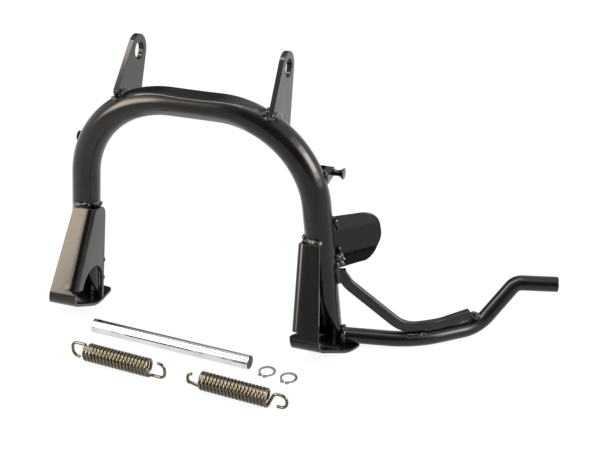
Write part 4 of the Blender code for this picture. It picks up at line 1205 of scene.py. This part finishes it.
class STAND_OT_step(bpy.types.Operator):
    """Make the trough-shaped step plate behind the right leg"""

    bl_idname = "stand.step"
    bl_label = "Step Plate"

    def execute(self, context):
        sizes = context.scene.stand_sizes
        painted(context, "folded_step", step_surfaces(sizes.sheet), "step_plate",
                easing=sizes.edge)
        return {"FINISHED"}


class STAND_OT_pegs(bpy.types.Operator):
    """Make the spring pegs and the brackets that carry them"""

    bl_idname = "stand.pegs"
    bl_label = "Spring Pegs"

    def execute(self, context):
        sizes = context.scene.stand_sizes
        for name, side in SIDES:
            surfaces = bracket_surfaces(side, BRACKET_WIDTH, 0)
            surfaces += bracket_surfaces(side, WEDGE_WIDTH, WEDGE_DROP)
            painted(context, "peg_block_" + name, surfaces, "peg_bracket_" + name,
                    easing=sizes.edge)
            surface = peg_surface(side, sizes.peg_head)
            painted(context, "turned_peg_" + name, [(surface, False, True)],
                    "spring_peg_" + name, sharp=60 * DEG)
        return {"FINISHED"}


class STAND_OT_fixings(bpy.types.Operator):
    """Make the shaft and springs, and finish the circlips"""

    bl_idname = "stand.fixings"
    bl_label = "Shaft, Springs and Circlips"

    def execute(self, context):
        sizes, colours = context.scene.stand_sizes, context.scene.stand_colours
        polished = steel_finish("polished_shaft", colours.polished, 0.09, (600, 10, 10),
                                SHAFT_PLACE, SHAFT_LENGTH / 2 - SHAFT_DULL_SHADED_ENDS)
        surface = shaft_surface(sizes.shaft_diameter)
        make_piece(context, "ground_shaft", [(surface, False, True)], polished,
                   "polished_steel", ["pivot_shaft"], sharp=25 * DEG)
        zinc = zinc_finish("plated_wire", colours.zinc)
        for name, _ in SIDES:
            line = spring_line(SPRING_HOOKS[name], sizes.spring_diameter, sizes.wire)
            points = bar(resampled(line, WIRE_STEP), sizes.wire / 2, WIRE_SIDES, WIRE_EASING)
            points = placed(points, SPRING_PLACES[name], 0)
            points[..., 2] -= points[..., 2].min()
            make_piece(context, "coiled_spring_" + name, [(points, False, True)], zinc,
                       "yellow_zinc", ["return_spring_" + name], sharp=60 * DEG)
        clip = steel_finish("spring_steel", colours.clip, 0.3, (60, 60, 900))
        for name, _ in SIDES:
            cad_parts["circlip_" + name].material_slots[0].material = clip
        return {"FINISHED"}


class STAND_OT_welds(bpy.types.Operator):
    """Lay lumpy weld beads along the seams"""

    bl_idname = "stand.welds"
    bl_label = "Weld Beads"

    def execute(self, context):
        sizes = context.scene.stand_sizes
        paint = paint_finish("painted_weld", context.scene.stand_colours.paint, 0.2, 0.04 * MM,
                             coat=1.0, coat_rough=0.05)
        for name, seams in weld_seams(sizes).items():
            surfaces = [(bead(path, sizes.weld * factor, seed), False, True)
                        for seed, (path, factor) in enumerate(seams, len(name))]
            make_piece(context, name, surfaces, paint, "black_paint", sharp=80 * DEG)
        return {"FINISHED"}


class STAND_OT_stage(bpy.types.Operator):
    """Lay the floor and set the lights, the surroundings and the camera"""

    bl_idname = "stand.stage"
    bl_label = "Stage"

    def execute(self, context):
        mesh = bpy.data.meshes.new("studio_floor")
        corners = [(x * FLOOR_HALF, y * FLOOR_HALF, 0)
                   for x, y in ((-1, -1), (1, -1), (1, 1), (-1, 1))]
        mesh.from_pydata(corners, [], [[0, 1, 2, 3]])
        mesh.materials.append(floor_finish(context.scene.stand_colours.floor))
        floor = bpy.data.objects.new("studio_floor", mesh)
        context.scene.collection.objects.link(floor)
        set_world(context)
        for row in STUDIO_LIGHTS:
            add_light(context, *row)
        set_camera(context)
        context.scene.view_settings.view_transform = "Standard"
        return {"FINISHED"}


def set_up(context, name, data, place, right, up):
    """A light or camera at a place, which looks along up crossed with right."""
    thing = bpy.data.objects.new(name, data)
    turn = np.eye(4)
    turn[:3] = np.column_stack([right, up, np.cross(right, up), np.array(place) + PLACE])
    thing.matrix_world = Matrix(turn.tolist())
    context.scene.collection.objects.link(thing)
    return thing


def add_light(context, name, place, aim, width, height, power, tint):
    """One soft box at a place, facing its aim; both are from the middle of the stand."""
    data = bpy.data.lights.new(name, "AREA")
    data.shape = "RECTANGLE"
    data.size, data.size_y = width, height
    data.energy = power
    warm = np.array(context.scene.stand_colours.light)
    data.color = tuple(1 + (warm - 1) * tint)
    towards = unit(np.array(place) - np.array(aim))
    right = unit(np.cross((0, 0, 1.0), towards))
    set_up(context, name, data, place, right, np.cross(towards, right))


def set_world(context):
    """A pale surround with two dim sides, which the camera sees as plain white.

    How dim a direction is comes from the cosine of its angle to the middle of each dim
    side, run through a ramp.
    """
    world = bpy.data.worlds.new("soft_studio")
    context.scene.world = world
    tree = Tree(world, "Generated")
    levels = [tree.ramp(tree.facing(direction), 1.0, DIM_LEVEL, start, end)
              for direction, start, end in DIM_SIDES]
    camera = tree.add("LightPath", {}, "Is Camera Ray")
    colour = tree.mixed(camera, tree.maths("MINIMUM", *levels), (1, 1, 1, 1), "RGBA")
    tree.put(tree.nodes["Background"], {"Color": colour})


def set_camera(context):
    """The camera at the photograph's place, level and lens."""
    data = bpy.data.cameras.new("photo_view")
    data.lens, data.sensor_width = CAMERA_LENS, SENSOR_WIDTH
    right, up = unit(np.array(CAMERA_RIGHT)), unit(np.array(CAMERA_UP))
    context.scene.camera = set_up(context, "photo_view", data, CAMERA_PLACE, right, up)


class STAND_PT_panel(bpy.types.Panel):
    """Lists the steps with the sizes and colours that they use"""

    bl_label = "Centre Stand"
    bl_space_type = "VIEW_3D"
    bl_region_type = "UI"
    bl_category = "Centre Stand"

    def draw(self, context):
        layout = self.layout
        for step in STEPS:
            layout.operator(step.bl_idname)
        for group in (context.scene.stand_sizes, context.scene.stand_colours):
            box = layout.box()
            for name in group.__annotations__:
                box.prop(group, name)


STEPS = (STAND_OT_arch, STAND_OT_lugs, STAND_OT_shoes, STAND_OT_lever, STAND_OT_step,
         STAND_OT_pegs, STAND_OT_fixings, STAND_OT_welds, STAND_OT_stage)
CLASSES = (StandSizes, StandColours, *STEPS, STAND_PT_panel)


def register():
    """Adds the classes and their settings to Blender."""
    for cls in CLASSES:
        bpy.utils.register_class(cls)
    bpy.types.Scene.stand_sizes = PointerProperty(type=StandSizes)
    bpy.types.Scene.stand_colours = PointerProperty(type=StandColours)


def unregister():
    """Takes them away again."""
    del bpy.types.Scene.stand_colours
    del bpy.types.Scene.stand_sizes
    for cls in reversed(CLASSES):
        bpy.utils.unregister_class(cls)


def main():
    """Runs every step in order."""
    register()
    for step in STEPS:
        group, name = step.bl_idname.split(".")
        getattr(getattr(bpy.ops, group), name)()


if __name__ == "__main__":
    main()
